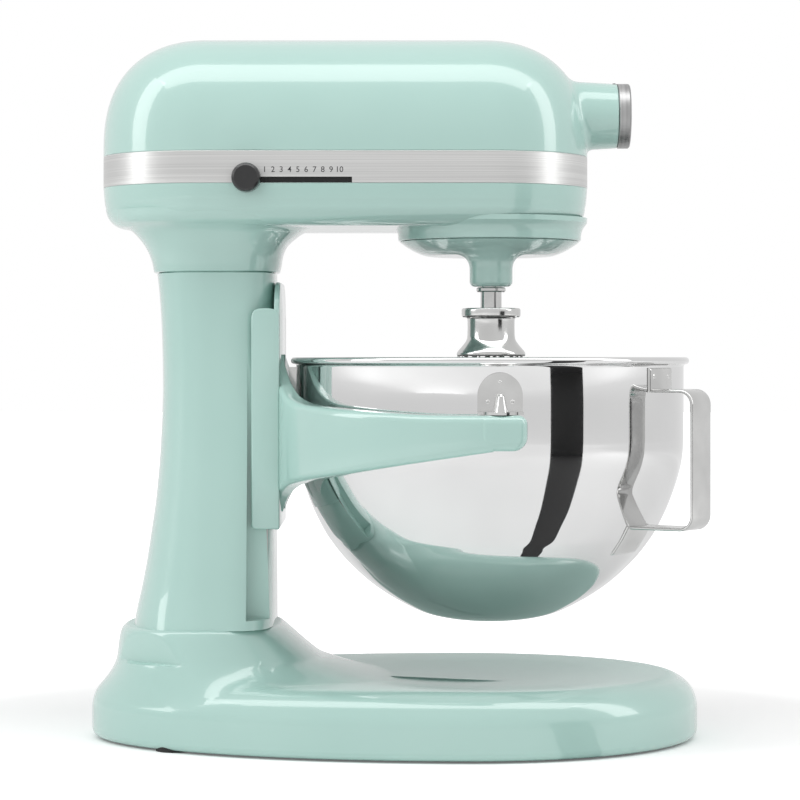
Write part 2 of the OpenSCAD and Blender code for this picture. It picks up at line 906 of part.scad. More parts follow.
module bowl() {
  color(steel)
    translate([axis_x, 0, 0])
      rotate_extrude($fn = 96)
        polygon(concat(
          [for (i = [bottom_row:len(bowl_rows) - 1]) [bowl_rows[i][1], bowl_rows[i][0]]],
          [[bowl_r + 2.2, 224.2], [bowl_r + 3.3, 225.4], [bowl_r + 3.3, 227.2], [bowl_r + 2.2, 228.4], [bowl_r + 0.4, 228.4], [bowl_r - bowl_t, 227]],
          [for (i = [len(bowl_rows) - 1:-1:bottom_row]) wall_point(i)]
        ));
}

module bowl_bottom() {
  color(steel)
    translate([axis_x, 0, 0])
      rotate_extrude($fn = 96)
        polygon(concat(
          [[0, 70.7]],
          [for (i = [0:bottom_row]) [bowl_rows[i][1], bowl_rows[i][0]]],
          [for (i = [bottom_row:-1:1]) wall_point(i)],
          [[0, 71.6]]
        ));
}

module bowl_solid(extra) {
  translate([axis_x, 0, 0])
    rotate_extrude($fn = 96)
      polygon(concat([[0, 70.7 - extra]], [for (r = bowl_rows) [r[1] + extra, r[0]]], [[0, 224.4]]));
}

ear_x = 59;
ear_w = 25.5;
pin_y = bowl_r + 15.3;
ear_in = bowl_r - 16.7;
ear_out = bowl_r + 13.3;

module bowl_ears() {
  color(steel)
    for (s = [-1, 1])
      difference() {
        union() {
          intersection() {
            translate([axis_x, 0, 196.4])
              difference() {
                cylinder(r = bowl_r + 1.5, h = 24, $fn = 96);
                translate([0, 0, -1])
                  cylinder(r = bowl_r + 0.01, h = 26, $fn = 96);
              }
            union() {
              translate([ear_x - ear_w / 2, s > 0 ? ear_in : -ear_out, 196.4])
                cube([ear_w, ear_out - ear_in, 10.6]);
              rod_y(s > 0 ? ear_in : -ear_out, s > 0 ? ear_out : -ear_in, ear_w / 2, ear_x, 207);
            }
          }
          difference() {
            union() {
              translate([ear_x - ear_w / 2, s > 0 ? ear_in + 10 : -ear_out, 196.4])
                cube([ear_w, ear_out - ear_in - 10, 1.6]);
              rod_z(196.4, 198, ear_w / 2 - 3, ear_x, s * (pin_y - 2.5));
            }
            translate([axis_x, 0, 190])
              cylinder(r = bowl_r + 0.01, h = 20, $fn = 96);
          }
        }
        rod_z(190, 200, 4.2, ear_x, s * pin_y);
      }
}

module bowl_rear_bracket() {
  color(steel)
    difference() {
      union() {
        translate([axis_x - bowl_r - 4.3, -9, 202])
          cube([6, 18, 20.5]);
        rod_x(axis_x - bowl_r - 5.9, axis_x - bowl_r - 3.3, 2.7, 0, 214.7);
      }
      bowl_solid(0.01);
      rod_x(-80, -40, 1.2, -5.5, 214);
      rod_x(-80, -40, 1.2, 5.5, 214);
    }
}

// strap outline in the plane of the bowl axis: reach and height
module strap_outline() {
  t = 2;
  difference() {
    union() {
      translate([100 * bowl_k, 128.5])
        square([grip_reach - 100 * bowl_k - 9, 81.5]);
      translate([grip_reach - 12, 137.5])
        square([12, 63.5]);
      for (z = [137.5, 201])
        translate([grip_reach - 9, z])
          circle(r = 9);
    }
    translate([90 * bowl_k, 128.5 + t])
      square([grip_reach - 90 * bowl_k - 5 - t, 81.5 - 2 * t]);
    translate([grip_reach - 14, 139.5])
      square([14 - t, 59.5]);
    for (z = [138.5, 200])
      translate([grip_reach - 10, z])
        circle(r = 8);
    translate([grip_reach - 30, 130.5])
      square([20, 77.5]);
  }
}

module bowl_handle() {
  color(steel)
    translate([axis_x, 0, 0])
      rotate([0, 0, handle_turn])
        difference() {
          union() {
            rotate([90, 0, 0])
              translate([0, 0, -grip_w / 2])
                linear_extrude(grip_w)
                  strap_outline();
            // upper and lower welded flanges
            intersection() {
              translate([-axis_x, 0, 0])
                bowl_solid(1.8);
              union() {
                translate([60, -13.5, 208])
                  cube([bowl_r, 27, 14.5]);
                translate([60, -13.5, 113])
                  cube([bowl_r, 27, 17.5]);
              }
            }
          }
          translate([-axis_x, 0, 0])
            bowl_solid(0.01);
        }
}

/* ---------- bowl support ---------- */

guide_y = rail_y + slide_gap + 0.2;
flange_t = 4.2;
// angle from the rear, inner and outer radius, lower and upper edge
arm_rows = [
  [7, 125, 127, 136, 230], [13, 124.6, 129.4, 143, 221], [19.5, 124.2, 133, 149, 212], [27, 124, 135.4, 154, 204.8],
  [36, 123.8, 136, 157.5, 201], [48, 123.8, 136.4, 161.3, 199.3], [62, 124, 137.4, 166.3, 197.6], [76, 124.6, 139.2, 171.3, 196.3], [89, 125, 141, 175.6, 196.3]
];

function arm_ring(r, s) =
  let(c = min(4, 0.3 * (r[2] - r[1])), q = [
    [r[1], r[3] + c * 0.5], [r[1] + c * 0.5, r[3]], [r[2] - c, r[3]], [r[2] - c * 0.3, r[3] + c * 0.3], [r[2], r[3] + c],
    [r[2], r[4] - c], [r[2] - c * 0.3, r[4] - c * 0.3], [r[2] - c, r[4]], [r[1] + c * 0.5, r[4]], [r[1], r[4] - c * 0.5]
  ])
    [for (i = [0:len(q) - 1]) let(p = q[s > 0 ? i : len(q) - 1 - i]) [axis_x - p[0] * cos(r[0]), s * (p[0] + bowl_r - 116.7) * sin(r[0]), p[1]]];

module bowl_support() {
  color(mint)
    difference() {
      union() {
        // front plate
        translate([front_face + slide_gap, 0, 0])
          rotate([90, 0, 90])
            linear_extrude(-68 - front_face - slide_gap)
              polygon([
                [-45, 127], [45, 127], [45, 254], [43.6, 260], [40, 265], [33, 270], [24, 273.2],
                [-24, 273.2], [-33, 270], [-40, 265], [-43.6, 260], [-45, 254]
              ]);
        // side flanges
        for (s = [-1, 1])
          translate([0, s > 0 ? guide_y + flange_t : -guide_y, 0])
            rotate([90, 0, 0])
              linear_extrude(flange_t)
                polygon([[-84.6, 129], [-82.6, 127], [-68, 127], [-68, 254], [-70, 256.2], [-74, 257.4], [-80, 257.4], [-83.4, 255.6], [-84.6, 252]]);
        for (s = [-1, 1]) {
          skin([for (r = arm_rows) arm_ring(r, s)]);
          // pad under the ear
          translate([0, s > 0 ? bowl_r + 24.3 : -bowl_r - 8.3, 0])
            rotate([90, 0, 0])
              linear_extrude(16) {
                translate([46, 184.5])
                  square([27.5, 11.8]);
                translate([54, 176.3])
                  square([11.5, 10]);
                for (x = [54.2, 65.3])
                  translate([x, 184.5])
                    circle(r = 8.2);
              }
        }
      }
      for (s = [-1, 1])
        rod_z(184, 200, 3.9 + seat_gap, ear_x, s * pin_y);
      // seat of the latch spring
      for (z = [180, 220])
        rod_x(-80, -66, 1.6 + seat_gap, 0, z);
    }
}

module locating_pins() {
  color(steel)
    for (s = [-1, 1])
      translate([ear_x, s * pin_y, 0])
        rotate_extrude()
          polygon([[0, 184.5], [3.9, 184.5], [3.9, 198], [1.9, 206.8], [1, 207.8], [0, 208]]);
}

module latch_spring() {
  color(steel)
    difference() {
      translate([-68 + seat_gap, -7, 174])
        cube([1.2, 14, 38]);
      translate([-70, -3.2, 190])
        cube([5, 6.4, 40]);
    }
}

roller_x = shaft_x + crank_r * cos(40);
roller_z = shaft_z + crank_r * sin(40);
roller_r = 5;

module lift_bracket() {
  color(steel)
    difference() {
      union() {
        translate([-76, -8.4, 174])
          cube([76 + front_face + slide_gap - seat_gap, 16.8, 52]);
        translate([-107, -2.5, roller_z - 12])
          cube([33, 5, 24]);
      }
      // slot of the crank roller
      translate([roller_x - roller_r - 0.9, -5, roller_z - roller_r - 0.75])
        cube([18.4, 10, 2 * roller_r + 1.5]);
      for (z = [180, 220])
        rod_x(-80, -66, 1.6, 0, z);
    }
}

module bracket_screws() {
  color(steel)
    for (z = [180, 220]) {
      rod_x(-77, -68.4, 1.58, 0, z);
      rod_x(-79, -76 - seat_gap, 3.4, 0, z);
    }
}

/* ---------- lift lever ---------- */

module lift_shaft() {
  color(steel)
    rod_y(-33, 71, 5, shaft_x, shaft_z);
}

module lift_crank() {
  color(steel)
    difference() {
      union() {
        rod_y(4, 16, 9.5, shaft_x, shaft_z);
        translate([shaft_x, 4, shaft_z])
          rotate([0, -40, 0])
            translate([0, 0, -6])
              cube([crank_r, 4.8, 12]);
        rod_y(4, 8.8, 6, roller_x, roller_z);
        rod_y(-3.6, 5, 2.5, roller_x, roller_z);
      }
      rod_y(0, 20, 5 + seat_gap, shaft_x, shaft_z);
    }
}

module crank_roller() {
  color(brass)
    difference() {
      rod_y(-3.2, 3.2, roller_r, roller_x, roller_z);
      rod_y(-6, 6, 2.5 + run_gap, roller_x, roller_z);
    }
}

module lift_lever() {
  color(steel)
    difference() {
      union() {
        rod_y(50, 70, 10, shaft_x, shaft_z);
        translate([shaft_x - 7, 62, 106])
          cube([14, 5, 76]);
      }
      rod_y(40, 80, 5 + seat_gap, shaft_x, shaft_z);
    }
}

module lever_grip() {
  color(dark)
    difference() {
      translate([shaft_x - 10, 59.6, 92])
        cube([20, 10, 36]);
      translate([shaft_x - 7 - seat_gap, 62 - seat_gap, 106 - seat_gap])
        cube([14 + 2 * seat_gap, 5 + 2 * seat_gap, 40]);
    }
}

/* ---------- controls ---------- */

knob_x = -86.2;

module speed_knob() {
  color(dark)
    difference() {
      translate([knob_x, -head_r - 0.5, 332.5])
        rotate([90, 0, 0])
          rotate_extrude($fn = 64)
            polygon([[0, 0], [8.4, 0], [8.4, 9.4], [7.9, 10.7], [6.8, 11.4], [0, 11.6]]);
      rod_y(-68, -60, 1.3 + seat_gap, knob_x, 331.7);
    }
}

module speed_slider() {
  color(dark) {
    rod_y(-67, -54, 1.3, knob_x, 331.7);
    translate([knob_x - 9, -55.8, 322])
      cube([18, 2, 17]);
  }
}

module hub_cap() {
  color(steel)
    difference() {
      union() {
        translate([0, 0, hub_z])
          rotate([0, 90, 0])
            rotate_extrude($fn = 72)
              polygon([[0, snout_end + 0.2], [19, snout_end + 0.2], [19.5, snout_end + 0.7], [19.5, 140.6], [18.7, 141.4], [0, 141.4]]);
        rod_y(-4, 4, 2, hinge_x, hinge_z);
        translate([hinge_x, -4, hinge_z - 1.7])
          cube([3, 8, 3.2]);
      }
      rod_y(-10, 10, 0.9 + run_gap, hinge_x, hinge_z);
    }
}

module cap_hinge_pin() {
  color(steel)
    rod_y(-5.1, 5.1, 0.9, hinge_x, hinge_z);
}

module thumb_knob() {
  color(dark)
    difference() {
      union() {
        rod_y(15.9, 25, 3, 124, hub_z);
        rod_y(22.2, 33, 8.5, 124, hub_z);
      }
      for (a = [0:45:315])
        rod_y(20, 40, 1.3, 124 + 8.9 * cos(a), hub_z + 8.9 * sin(a));
    }
}

base_casting();
rubber_feet();
column_casting();
column_bolts();
guide_rails();
lift_bush();
gearcase_housing();
motor_housing();
trim_band();
housing_screws();
neck_screws();
ring_gear();
motor_stator();
motor_windings();
brush_holders();
rear_bearing();
front_bearing();
centre_bearing();
cross_bearing();
hub_bearing();
speed_board();
cap_hinge_pin();
speed_knob();
speed_slider();
hub_cap();
thumb_knob();
hub_drive();
armature_shaft();
armature_core();
commutator();
cooling_fan();
worm();
cross_shaft();
worm_wheel();
cross_pinion();
centre_shaft();
centre_gear();
centre_bevel();
planetary_housing();
planetary_pin();
agitator_shaft();
agitator_pinion();
shaft_collar();
whisk_hub();
whisk_wires();
bowl_support();
locating_pins();
latch_spring();
lift_bracket();
bracket_screws();
bowl();
bowl_bottom();
bowl_ears();
bowl_rear_bracket();
bowl_handle();
lift_shaft();
lift_crank();
crank_roller();
lift_lever();
lever_grip();
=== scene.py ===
import math

import bpy
import numpy as np
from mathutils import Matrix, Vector


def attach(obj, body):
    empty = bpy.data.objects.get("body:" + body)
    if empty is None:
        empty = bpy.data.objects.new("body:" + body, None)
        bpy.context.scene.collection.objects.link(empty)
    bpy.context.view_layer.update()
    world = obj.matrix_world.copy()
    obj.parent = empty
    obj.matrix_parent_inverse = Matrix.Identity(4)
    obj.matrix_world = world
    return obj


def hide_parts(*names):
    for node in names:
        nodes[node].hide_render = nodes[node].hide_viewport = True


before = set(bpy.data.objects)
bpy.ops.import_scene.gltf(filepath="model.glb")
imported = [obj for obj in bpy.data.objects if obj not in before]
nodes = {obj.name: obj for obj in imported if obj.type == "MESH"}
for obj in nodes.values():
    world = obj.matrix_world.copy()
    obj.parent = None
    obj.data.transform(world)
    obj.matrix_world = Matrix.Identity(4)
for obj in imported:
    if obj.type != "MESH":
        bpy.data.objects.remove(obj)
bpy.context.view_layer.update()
mm = 0.001
print("frame loaded:", len(nodes), "nodes")

# mesh helpers: everything below is written in millimetres


def sine(degrees):
    return math.sin(math.radians(degrees))


def cosine(degrees):
    return math.cos(math.radians(degrees))


def makePiece(name, points, faces, material, body, hides=(), sharp=32):
    mesh = bpy.data.meshes.new(name)
    mesh.from_pydata([tuple(c * mm for c in p) for p in points], [], [tuple(f) for f in faces])
    mesh.validate()
    mesh.shade_smooth()
    mesh.set_sharp_from_angle(angle=math.radians(sharp))
    piece = bpy.data.objects.new(name, mesh)
    bpy.context.scene.collection.objects.link(piece)
    mesh.materials.append(material)
    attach(piece, body)
    if hides:
        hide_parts(*hides)
    return piece


def loft(rings, closeLow=False, closeHigh=False, flip=False):
    # points and faces through a list of equal closed rings
    n = len(rings[0])
    points = [tuple(p) for ring in rings for p in ring]
    faces = []
    for i in range(len(rings) - 1):
        for j in range(n):
            k = (j + 1) % n
            faces.append((i * n + j, i * n + k, (i + 1) * n + k, (i + 1) * n + j))
    if closeLow:
        faces.append(tuple(range(n - 1, -1, -1)))
    if closeHigh:
        faces.append(tuple(range((len(rings) - 1) * n, len(rings) * n)))
    if flip:
        faces = [tuple(reversed(f)) for f in faces]
    return points, faces


def joined(*parts):
    points, faces = [], []
    for p, f in parts:
        shift = len(points)
        points += p
        faces += [tuple(i + shift for i in face) for face in f]
    return points, faces


def circleRing(centre, radius, z, steps):
    ring = []
    for i in range(steps):
        a = 2 * math.pi * i / steps
        ring.append((centre[0] + radius * math.cos(a), centre[1] + radius * math.sin(a), z))
    return ring


def revolve(profile, centre=(0, 0), steps=128):
    # turns [radius, height] points about a vertical axis
    return loft([circleRing(centre, max(r, 0.001), z, steps) for r, z in profile])


def smoothTable(table, value):
    # monotone reading of a table of rows [key, a, b, ...]
    keys = [row[0] for row in table]
    return [float(monotone(keys, [row[c] for row in table], value)) for c in range(1, len(table[0]))]


def monotone(xs, ys, x):
    n = len(xs)
    x = min(max(x, xs[0]), xs[-1])
    d = [(ys[i + 1] - ys[i]) / (xs[i + 1] - xs[i]) for i in range(n - 1)]
    m = [d[0]]
    for a, b in zip(d, d[1:]):
        m.append(0 if a * b <= 0 else 2 * a * b / (a + b))
    m.append(d[-1])
    i = min(max(np.searchsorted(xs, x) - 1, 0), n - 2)
    h = xs[i + 1] - xs[i]
    t = (x - xs[i]) / h
    near = (2 * t**3 - 3 * t**2 + 1) * ys[i] + (t**3 - 2 * t**2 + t) * h * m[i]
    return near + (3 * t**2 - 2 * t**3) * ys[i + 1] + (t**3 - t**2) * h * m[i + 1]


def oval(rear, front, centre, half, squareRear, squareFront, z, n):
    ring = []
    for i in range(n):
        a = 2 * math.pi * i / n
        c, s = math.cos(a), math.sin(a)
        k = squareFront if c > 0 else squareRear
        x = centre + (front - centre if c > 0 else centre - rear) * math.copysign(abs(c) ** (2 / k), c)
        ring.append((x, half * math.copysign(abs(s) ** (2 / k), s), z))
    return ring


def stadiumRing(radius, z, n=96):
    # the plan of the head: two half circles joined by straight sides
    x0, x1 = head["back"], head["front"]
    ring = []
    for i in range(n):
        a = -math.pi / 2 + math.pi * i / (n - 1)
        ring.append((x1 + radius * math.cos(a), radius * math.sin(a), z))
    for i in range(1, 12):
        ring.append((x1 + (x0 - x1) * i / 12, radius, z))
    for i in range(n):
        a = math.pi / 2 + math.pi * i / (n - 1)
        ring.append((x0 + radius * math.cos(a), radius * math.sin(a), z))
    for i in range(1, 12):
        ring.append((x0 + (x1 - x0) * i / 12, -radius, z))
    return ring


def bezier(p0, p1, p2, p3, t):
    p0, p1, p2, p3 = (np.array(p, float) for p in (p0, p1, p2, p3))
    return tuple((1 - t) ** 3 * p0 + 3 * (1 - t) ** 2 * t * p1 + 3 * (1 - t) * t**2 * p2 + t**3 * p3)


def boxPart(x0, x1, y0, y1, z0, z1):
    p = [(x, y, z) for z in (z0, z1) for y in (y0, y1) for x in (x0, x1)]
    return p, [(0, 2, 3, 1), (4, 5, 7, 6), (0, 1, 5, 4), (2, 6, 7, 3), (0, 4, 6, 2), (1, 3, 7, 5)]


def extruded(outline, lay, t0, t1):
    # a closed outline carried from t0 to t1; lay turns (u, v, t) into a point
    low = [lay(u, v, t0) for u, v in outline]
    high = [lay(u, v, t1) for u, v in outline]
    return loft([low, high], True, True)


def bevelEdges(piece, width, segments=3, angle=35):
    cut = piece.modifiers.new("softEdges", "BEVEL")
    cut.width = width * mm
    cut.segments = segments
    cut.limit_method = "ANGLE"
    cut.angle_limit = math.radians(angle)
    cut.harden_normals = False
    bakeModifiers(piece)


def cutAway(piece, cutter):
    points, faces = cutter
    mesh = bpy.data.meshes.new("cutter")
    mesh.from_pydata([tuple(c * mm for c in p) for p in points], [], faces)
    tool = bpy.data.objects.new("cutter", mesh)
    bpy.context.scene.collection.objects.link(tool)
    cut = piece.modifiers.new("cut", "BOOLEAN")
    cut.operation = "DIFFERENCE"
    cut.solver = "EXACT"
    cut.object = tool
    bakeModifiers(piece)
    bpy.data.objects.remove(tool)
    bpy.data.meshes.remove(mesh)


def bakeModifiers(piece, sharp=32):
    bpy.context.view_layer.update()
    graph = bpy.context.evaluated_depsgraph_get()
    baked = bpy.data.meshes.new_from_object(piece.evaluated_get(graph))
    old = piece.data
    piece.modifiers.clear()
    piece.data = baked
    bpy.data.meshes.remove(old)
    baked.name = piece.name
    baked.shade_smooth()
    baked.set_sharp_from_angle(angle=math.radians(sharp))


# materials


def newMaterial(name):
    material = bpy.data.materials.new(name)
    material.use_nodes = True
    shader = material.node_tree.nodes["Principled BSDF"]
    return material, material.node_tree, shader


def srgb(r, g, b):
    return tuple(
        (c / 255 / 12.92 if c / 255 <= 0.04045 else ((c / 255 + 0.055) / 1.055) ** 2.4)
        for c in (r, g, b)
    ) + (1,)


def addNode(tree, kind, **settings):
    node = tree.nodes.new(kind)
    for key, value in settings.items():
        setattr(node, key, value)
    return node


def noiseOn(tree, scale, stretch=(1, 1, 1), detail=3.0):
    place = addNode(tree, "ShaderNodeTexCoord")
    fit = addNode(tree, "ShaderNodeMapping")
    fit.inputs["Scale"].default_value = stretch
    noise = addNode(tree, "ShaderNodeTexNoise")
    noise.inputs["Scale"].default_value = scale
    noise.inputs["Detail"].default_value = detail
    tree.links.new(place.outputs["Object"], fit.inputs["Vector"])
    tree.links.new(fit.outputs["Vector"], noise.inputs["Vector"])
    return noise


def ramped(tree, source, low, high, start=0.35, end=0.65):
    ramp = addNode(tree, "ShaderNodeMapRange")
    ramp.inputs["From Min"].default_value = start
    ramp.inputs["From Max"].default_value = end
    ramp.inputs["To Min"].default_value = low
    ramp.inputs["To Max"].default_value = high
    tree.links.new(source, ramp.inputs["Value"])
    return ramp.outputs["Result"]


def tinted(tree, source, low, high, start=0.35, end=0.65):
    ramp = addNode(tree, "ShaderNodeValToRGB")
    ramp.color_ramp.elements[0].position = start
    ramp.color_ramp.elements[1].position = end
    ramp.color_ramp.elements[0].color = low
    ramp.color_ramp.elements[1].color = high
    tree.links.new(source, ramp.inputs["Fac"])
    return ramp.outputs["Color"]


def bumped(tree, shader, source, strength, distance=0.0002):
    bump = addNode(tree, "ShaderNodeBump")
    bump.inputs["Strength"].default_value = strength
    bump.inputs["Distance"].default_value = distance
    tree.links.new(source, bump.inputs["Height"])
    tree.links.new(bump.outputs["Normal"], shader.inputs["Normal"])


enamelLook = {
    "colour": (174, 208, 200),
    "shade": (170, 205, 197),
    "roughness": 0.24,
    "coat": 1.0,
    "baseCoat": 0.12,
    "coatRoughness": 0.02,
}


def makeEnamel(name, topCoat):
    material, tree, shader = newMaterial(name)
    shader.inputs["Metallic"].default_value = 0
    shader.inputs["Roughness"].default_value = enamelLook["roughness"]
    shader.inputs["Coat Weight"].default_value = enamelLook["coat"]
    shader.inputs["Coat Roughness"].default_value = enamelLook["coatRoughness"]
    if topCoat < enamelLook["coat"]:
        # faces that lie level have less coat than the edges and sides
        surface = addNode(tree, "ShaderNodeNewGeometry")
        parts = addNode(tree, "ShaderNodeSeparateXYZ")
        tree.links.new(surface.outputs["Normal"], parts.inputs[0])
        tree.links.new(
            ramped(tree, parts.outputs["Z"], enamelLook["coat"], topCoat, 0.9, 0.985),
            shader.inputs["Coat Weight"],
        )
    shader.inputs["Coat IOR"].default_value = 1.55
    cloud = noiseOn(tree, 9)
    tree.links.new(
        tinted(tree, cloud.outputs["Fac"], srgb(*enamelLook["shade"]), srgb(*enamelLook["colour"])),
        shader.inputs["Base Color"],
    )
    peel = noiseOn(tree, 260, detail=1.0)
    bumped(tree, shader, peel.outputs["Fac"], 0.02, 0.0001)
    return material


def makeMetal(
    name, colour, dark, roughness, stretch=(1, 1, 1), scale=300, spread=0.06, bump=0.0, anisotropic=0.0,
):
    material, tree, shader = newMaterial(name)
    shader.inputs["Metallic"].default_value = 1
    if anisotropic:
        shader.inputs["Anisotropic"].default_value = anisotropic
    grain = noiseOn(tree, scale, stretch, 2.0)
    tree.links.new(
        tinted(tree, grain.outputs["Fac"], srgb(*dark), srgb(*colour)), shader.inputs["Base Color"],
    )
    tree.links.new(
        ramped(tree, grain.outputs["Fac"], roughness - spread, roughness + spread),
        shader.inputs["Roughness"],
    )
    if bump:
        bumped(tree, shader, grain.outputs["Fac"], bump)
    return material


def makePlastic(name, colour, shade, roughness, coat=0.0):
    material, tree, shader = newMaterial(name)
    shader.inputs["Coat Weight"].default_value = coat
    shader.inputs["Coat Roughness"].default_value = 0.05
    mottle = noiseOn(tree, 60)
    tree.links.new(
        tinted(tree, mottle.outputs["Fac"], srgb(*shade), srgb(*colour)), shader.inputs["Base Color"],
    )
    tree.links.new(
        ramped(tree, mottle.outputs["Fac"], roughness - 0.03, roughness + 0.03),
        shader.inputs["Roughness"],
    )
    return material


enamel = makeEnamel("mintEnamel", enamelLook["coat"])
baseEnamel = makeEnamel("baseEnamel", enamelLook["baseCoat"])
bandSteel = makeMetal(
    "brushedBand", (222, 222, 221), (206, 206, 205), 0.34, (3, 3, 900), 1.6, 0.05, 0.08, 0.5,
)
mirrorSteel = makeMetal("mirrorSteel", (226, 226, 226), (220, 220, 220), 0.035, scale=14, spread=0.012)
polishedSteel = makeMetal("polishedSteel", (215, 215, 214), (200, 200, 199), 0.13, scale=40, spread=0.04)
wireSteel = makeMetal("wireSteel", (214, 214, 214), (196, 196, 196), 0.16, scale=60, spread=0.04)
capSteel = makeMetal("capSteel", (178, 178, 178), (150, 150, 150), 0.36, (400, 4, 4), 1.5, 0.06, 0.2)
machinedSteel = makeMetal("machinedSteel", (176, 176, 174), (150, 150, 148), 0.32, scale=120)
castAlloy = makeMetal("castAlloy", (178, 178, 180), (150, 150, 152), 0.45, scale=220, bump=0.2)
bronze = makeMetal("bronze", (196, 156, 92), (168, 128, 70), 0.3, scale=120)
copper = makeMetal("copper", (196, 118, 76), (160, 90, 56), 0.32, (1, 1, 60), 40)
blackGloss = makePlastic("blackGloss", (22, 22, 24), (16, 16, 18), 0.3, 0.4)
blackMatt = makePlastic("blackMatt", (18, 18, 19), (12, 12, 13), 0.6)
rubberGrey = makePlastic("rubberGrey", (44, 44, 44), (34, 34, 34), 0.72)
boardGreen = makePlastic("boardGreen", (36, 92, 54), (28, 76, 44), 0.4)
numeralGrey = makePlastic("numeralGrey", (58, 58, 60), (50, 50, 52), 0.5)
print("materials ready")

# base casting: slab, then the collar flowing out of it

base = {
    "frontReach": 137,
    "rearReach": 227.8,
    "half": 117,
    "planX": 45,
    "top": 38.7,
    "low": 1.0,
    "lowRound": 5,
    "edgeRound": 20,
    "dishX": 57,
    "dishRadius": 92,
    "dishDeep": 6.1,
    "lipStart": 0.86,
    "lipEnd": 1.16,
}
collarRows = [
    [45.3, -168.2, -39, 72], [51.4, -167, -47.6, 69.4], [57.4, -166.4, -55, 67.6],
    [63.5, -165.4, -62, 66], [66.5, -164.2, -65.6, 65], [68.4, -162, -68.2, 63.9], [69, -160, -70, 63],
]


def baseRing(inset, z, n=192):
    return oval(
        base["planX"] - base["rearReach"] + inset, base["planX"] + base["frontReach"] - inset,
        base["planX"], base["half"] - inset, 2, 2, z, n,
    )


def slabInset(x, y):
    # distance inside the slab's edge, near enough for the shape of its top
    dx = x - base["planX"]
    a = base["frontReach"] if dx > 0 else base["rearReach"]
    b = base["half"]
    low, high = 0.0, b - 1
    for _ in range(24):
        mid = (low + high) / 2
        if (dx / (a - mid)) ** 2 + (y / (b - mid)) ** 2 < 1:
            low = mid
        else:
            high = mid
    return low


def slabHeight(x, y):
    d, r = slabInset(x, y), base["edgeRound"]
    z = base["top"] - r + math.sqrt(max(0, r * r - (r - min(d, r)) ** 2))
    q = math.hypot(x - base["dishX"], y) / base["dishRadius"]
    if q < base["lipEnd"]:
        z = min(z, base["top"] - dishDepth(q))
    return z


def dishDepth(q):
    # depth of the dish, with its lip rolled over a little
    start = base["lipStart"]
    if q <= start:
        return base["dishDeep"] * (1 - q * q)
    if q >= base["lipEnd"]:
        return 0
    t = min((q - start) / 0.3, 1)
    return base["dishDeep"] * (1 - start**2) * (1 - t) ** 2 * (1 + 0.9 * t)


def makeBase():
    low, lip = base["low"], base["lowRound"]
    rings = [baseRing(7, low + 3)]
    for a in range(0, 91, 15):
        rings.append(baseRing(lip * (1 - sine(a)), low + lip - lip * cosine(a)))
    # the rings over the top lie close together at the rounded edge
    edgeInsets = [0.0, 0.08, 0.3, 0.7, 1.2, 1.9, 2.7, 3.7, 4.8, 6.1, 7.5, 9, 10.6, 12.4, 14.2]
    topInsets = [16, 18, 20, 22, 25, 28, 32, 36] + list(range(40, 111, 5)) + [114, 116.5]
    for inset in edgeInsets + topInsets:
        rings.append([(x, y, slabHeight(x, y)) for x, y, _ in baseRing(inset, 0)])
    slab = loft(rings, False, True)
    flare = loft(makeFlare(), False, True)
    under = loft([baseRing(7, low + 3), baseRing(9, low + 1), baseRing(9, 25.7)], False, True, True)
    points, faces = joined(slab, flare, under)
    return makePiece(
        "baseCasting", points, faces, baseEnamel, "stand", ["base_casting"], 50,
    )


def heldInside(x, y, margin, slack=0):
    # keeps y within the slab's outline, less a margin
    along = (base["planX"] - x) / (base["rearReach"] - margin)
    limit = (base["half"] - margin) * math.sqrt(max(0, 1 - along**2))
    return math.copysign(min(abs(y), limit + slack), y)


def makeFlare(n=160):
    # the collar's foot runs out onto the slab along its own slope, and its wall rises from there
    foot = oval(-182.6, 2, -110, 84.5, 2.2, 2.1, 0, n)

    def collarRing(z):
        rear, front, half = smoothTable(collarRows, z)
        return oval(rear, front, -110, half, 2.3, 2.4, z, n)

    start, below = collarRing(50), collarRing(49)
    wallHeights = [50, 51.5, 53, 55, 57, 59, 61, 63, 64.5, 65.7, 66.7, 67.5, 68.1, 68.6, 68.9, 69]
    wall = [collarRing(z) for z in wallHeights]
    rings = []
    feet = []
    for x, y, _ in foot:
        y = heldInside(x, y, 0.9)
        feet.append((x, y, slabHeight(x, y)))
    steps = 22
    for s in range(steps):
        t = s / steps
        ring = []
        for i in range(n):
            p0, p3 = feet[i], tuple(start[i])
            inward = np.array([p3[0] - p0[0], p3[1] - p0[1]])
            far = np.linalg.norm(inward)
            inward = inward / max(far, 1e-6)
            ahead = (p0[0] + inward[0] * 0.6, p0[1] + inward[1] * 0.6)
            slope = (slabHeight(*ahead) - p0[2]) / 0.6
            drop = p3[2] - p0[2]
            reach = min(far, max(drop, 6)) * 0.55
            lean = math.hypot(1, slope)
            p1 = (
                p0[0] + inward[0] * reach / lean,
                p0[1] + inward[1] * reach / lean,
                p0[2] + slope * reach / lean,
            )
            wallStep = np.array(start[i]) - np.array(below[i])
            wallStep = wallStep / np.linalg.norm(wallStep)
            p2 = tuple(np.array(p3) - wallStep * min(drop, far + 6) * 0.5)
            ring.append(bezier(p0, p1, p2, p3, t))
        rings.append(ring)
    for ring in wall:
        rings.append([(x, heldInside(x, y, 11.5, 2), z) for x, y, z in ring])
    return rings


makeBase()
print("base ready")

# column

columnRows = [
    [69, -156.8, 62], [78, -155.3, 59.8], [90, -152.6, 57.4], [106, -149.5, 55], [124, -146.7, 52.4],
    [146, -143.6, 49.6], [178, -141, 46], [212, -139.8, 42.8], [240, -140.4, 41], [262, -141.6, 40.3],
    [279, -143.3, 40],
]
column = {"front": -71.8, "railHalf": 40.4, "railLow": 74.5, "railHigh": 262, "seam": 279}


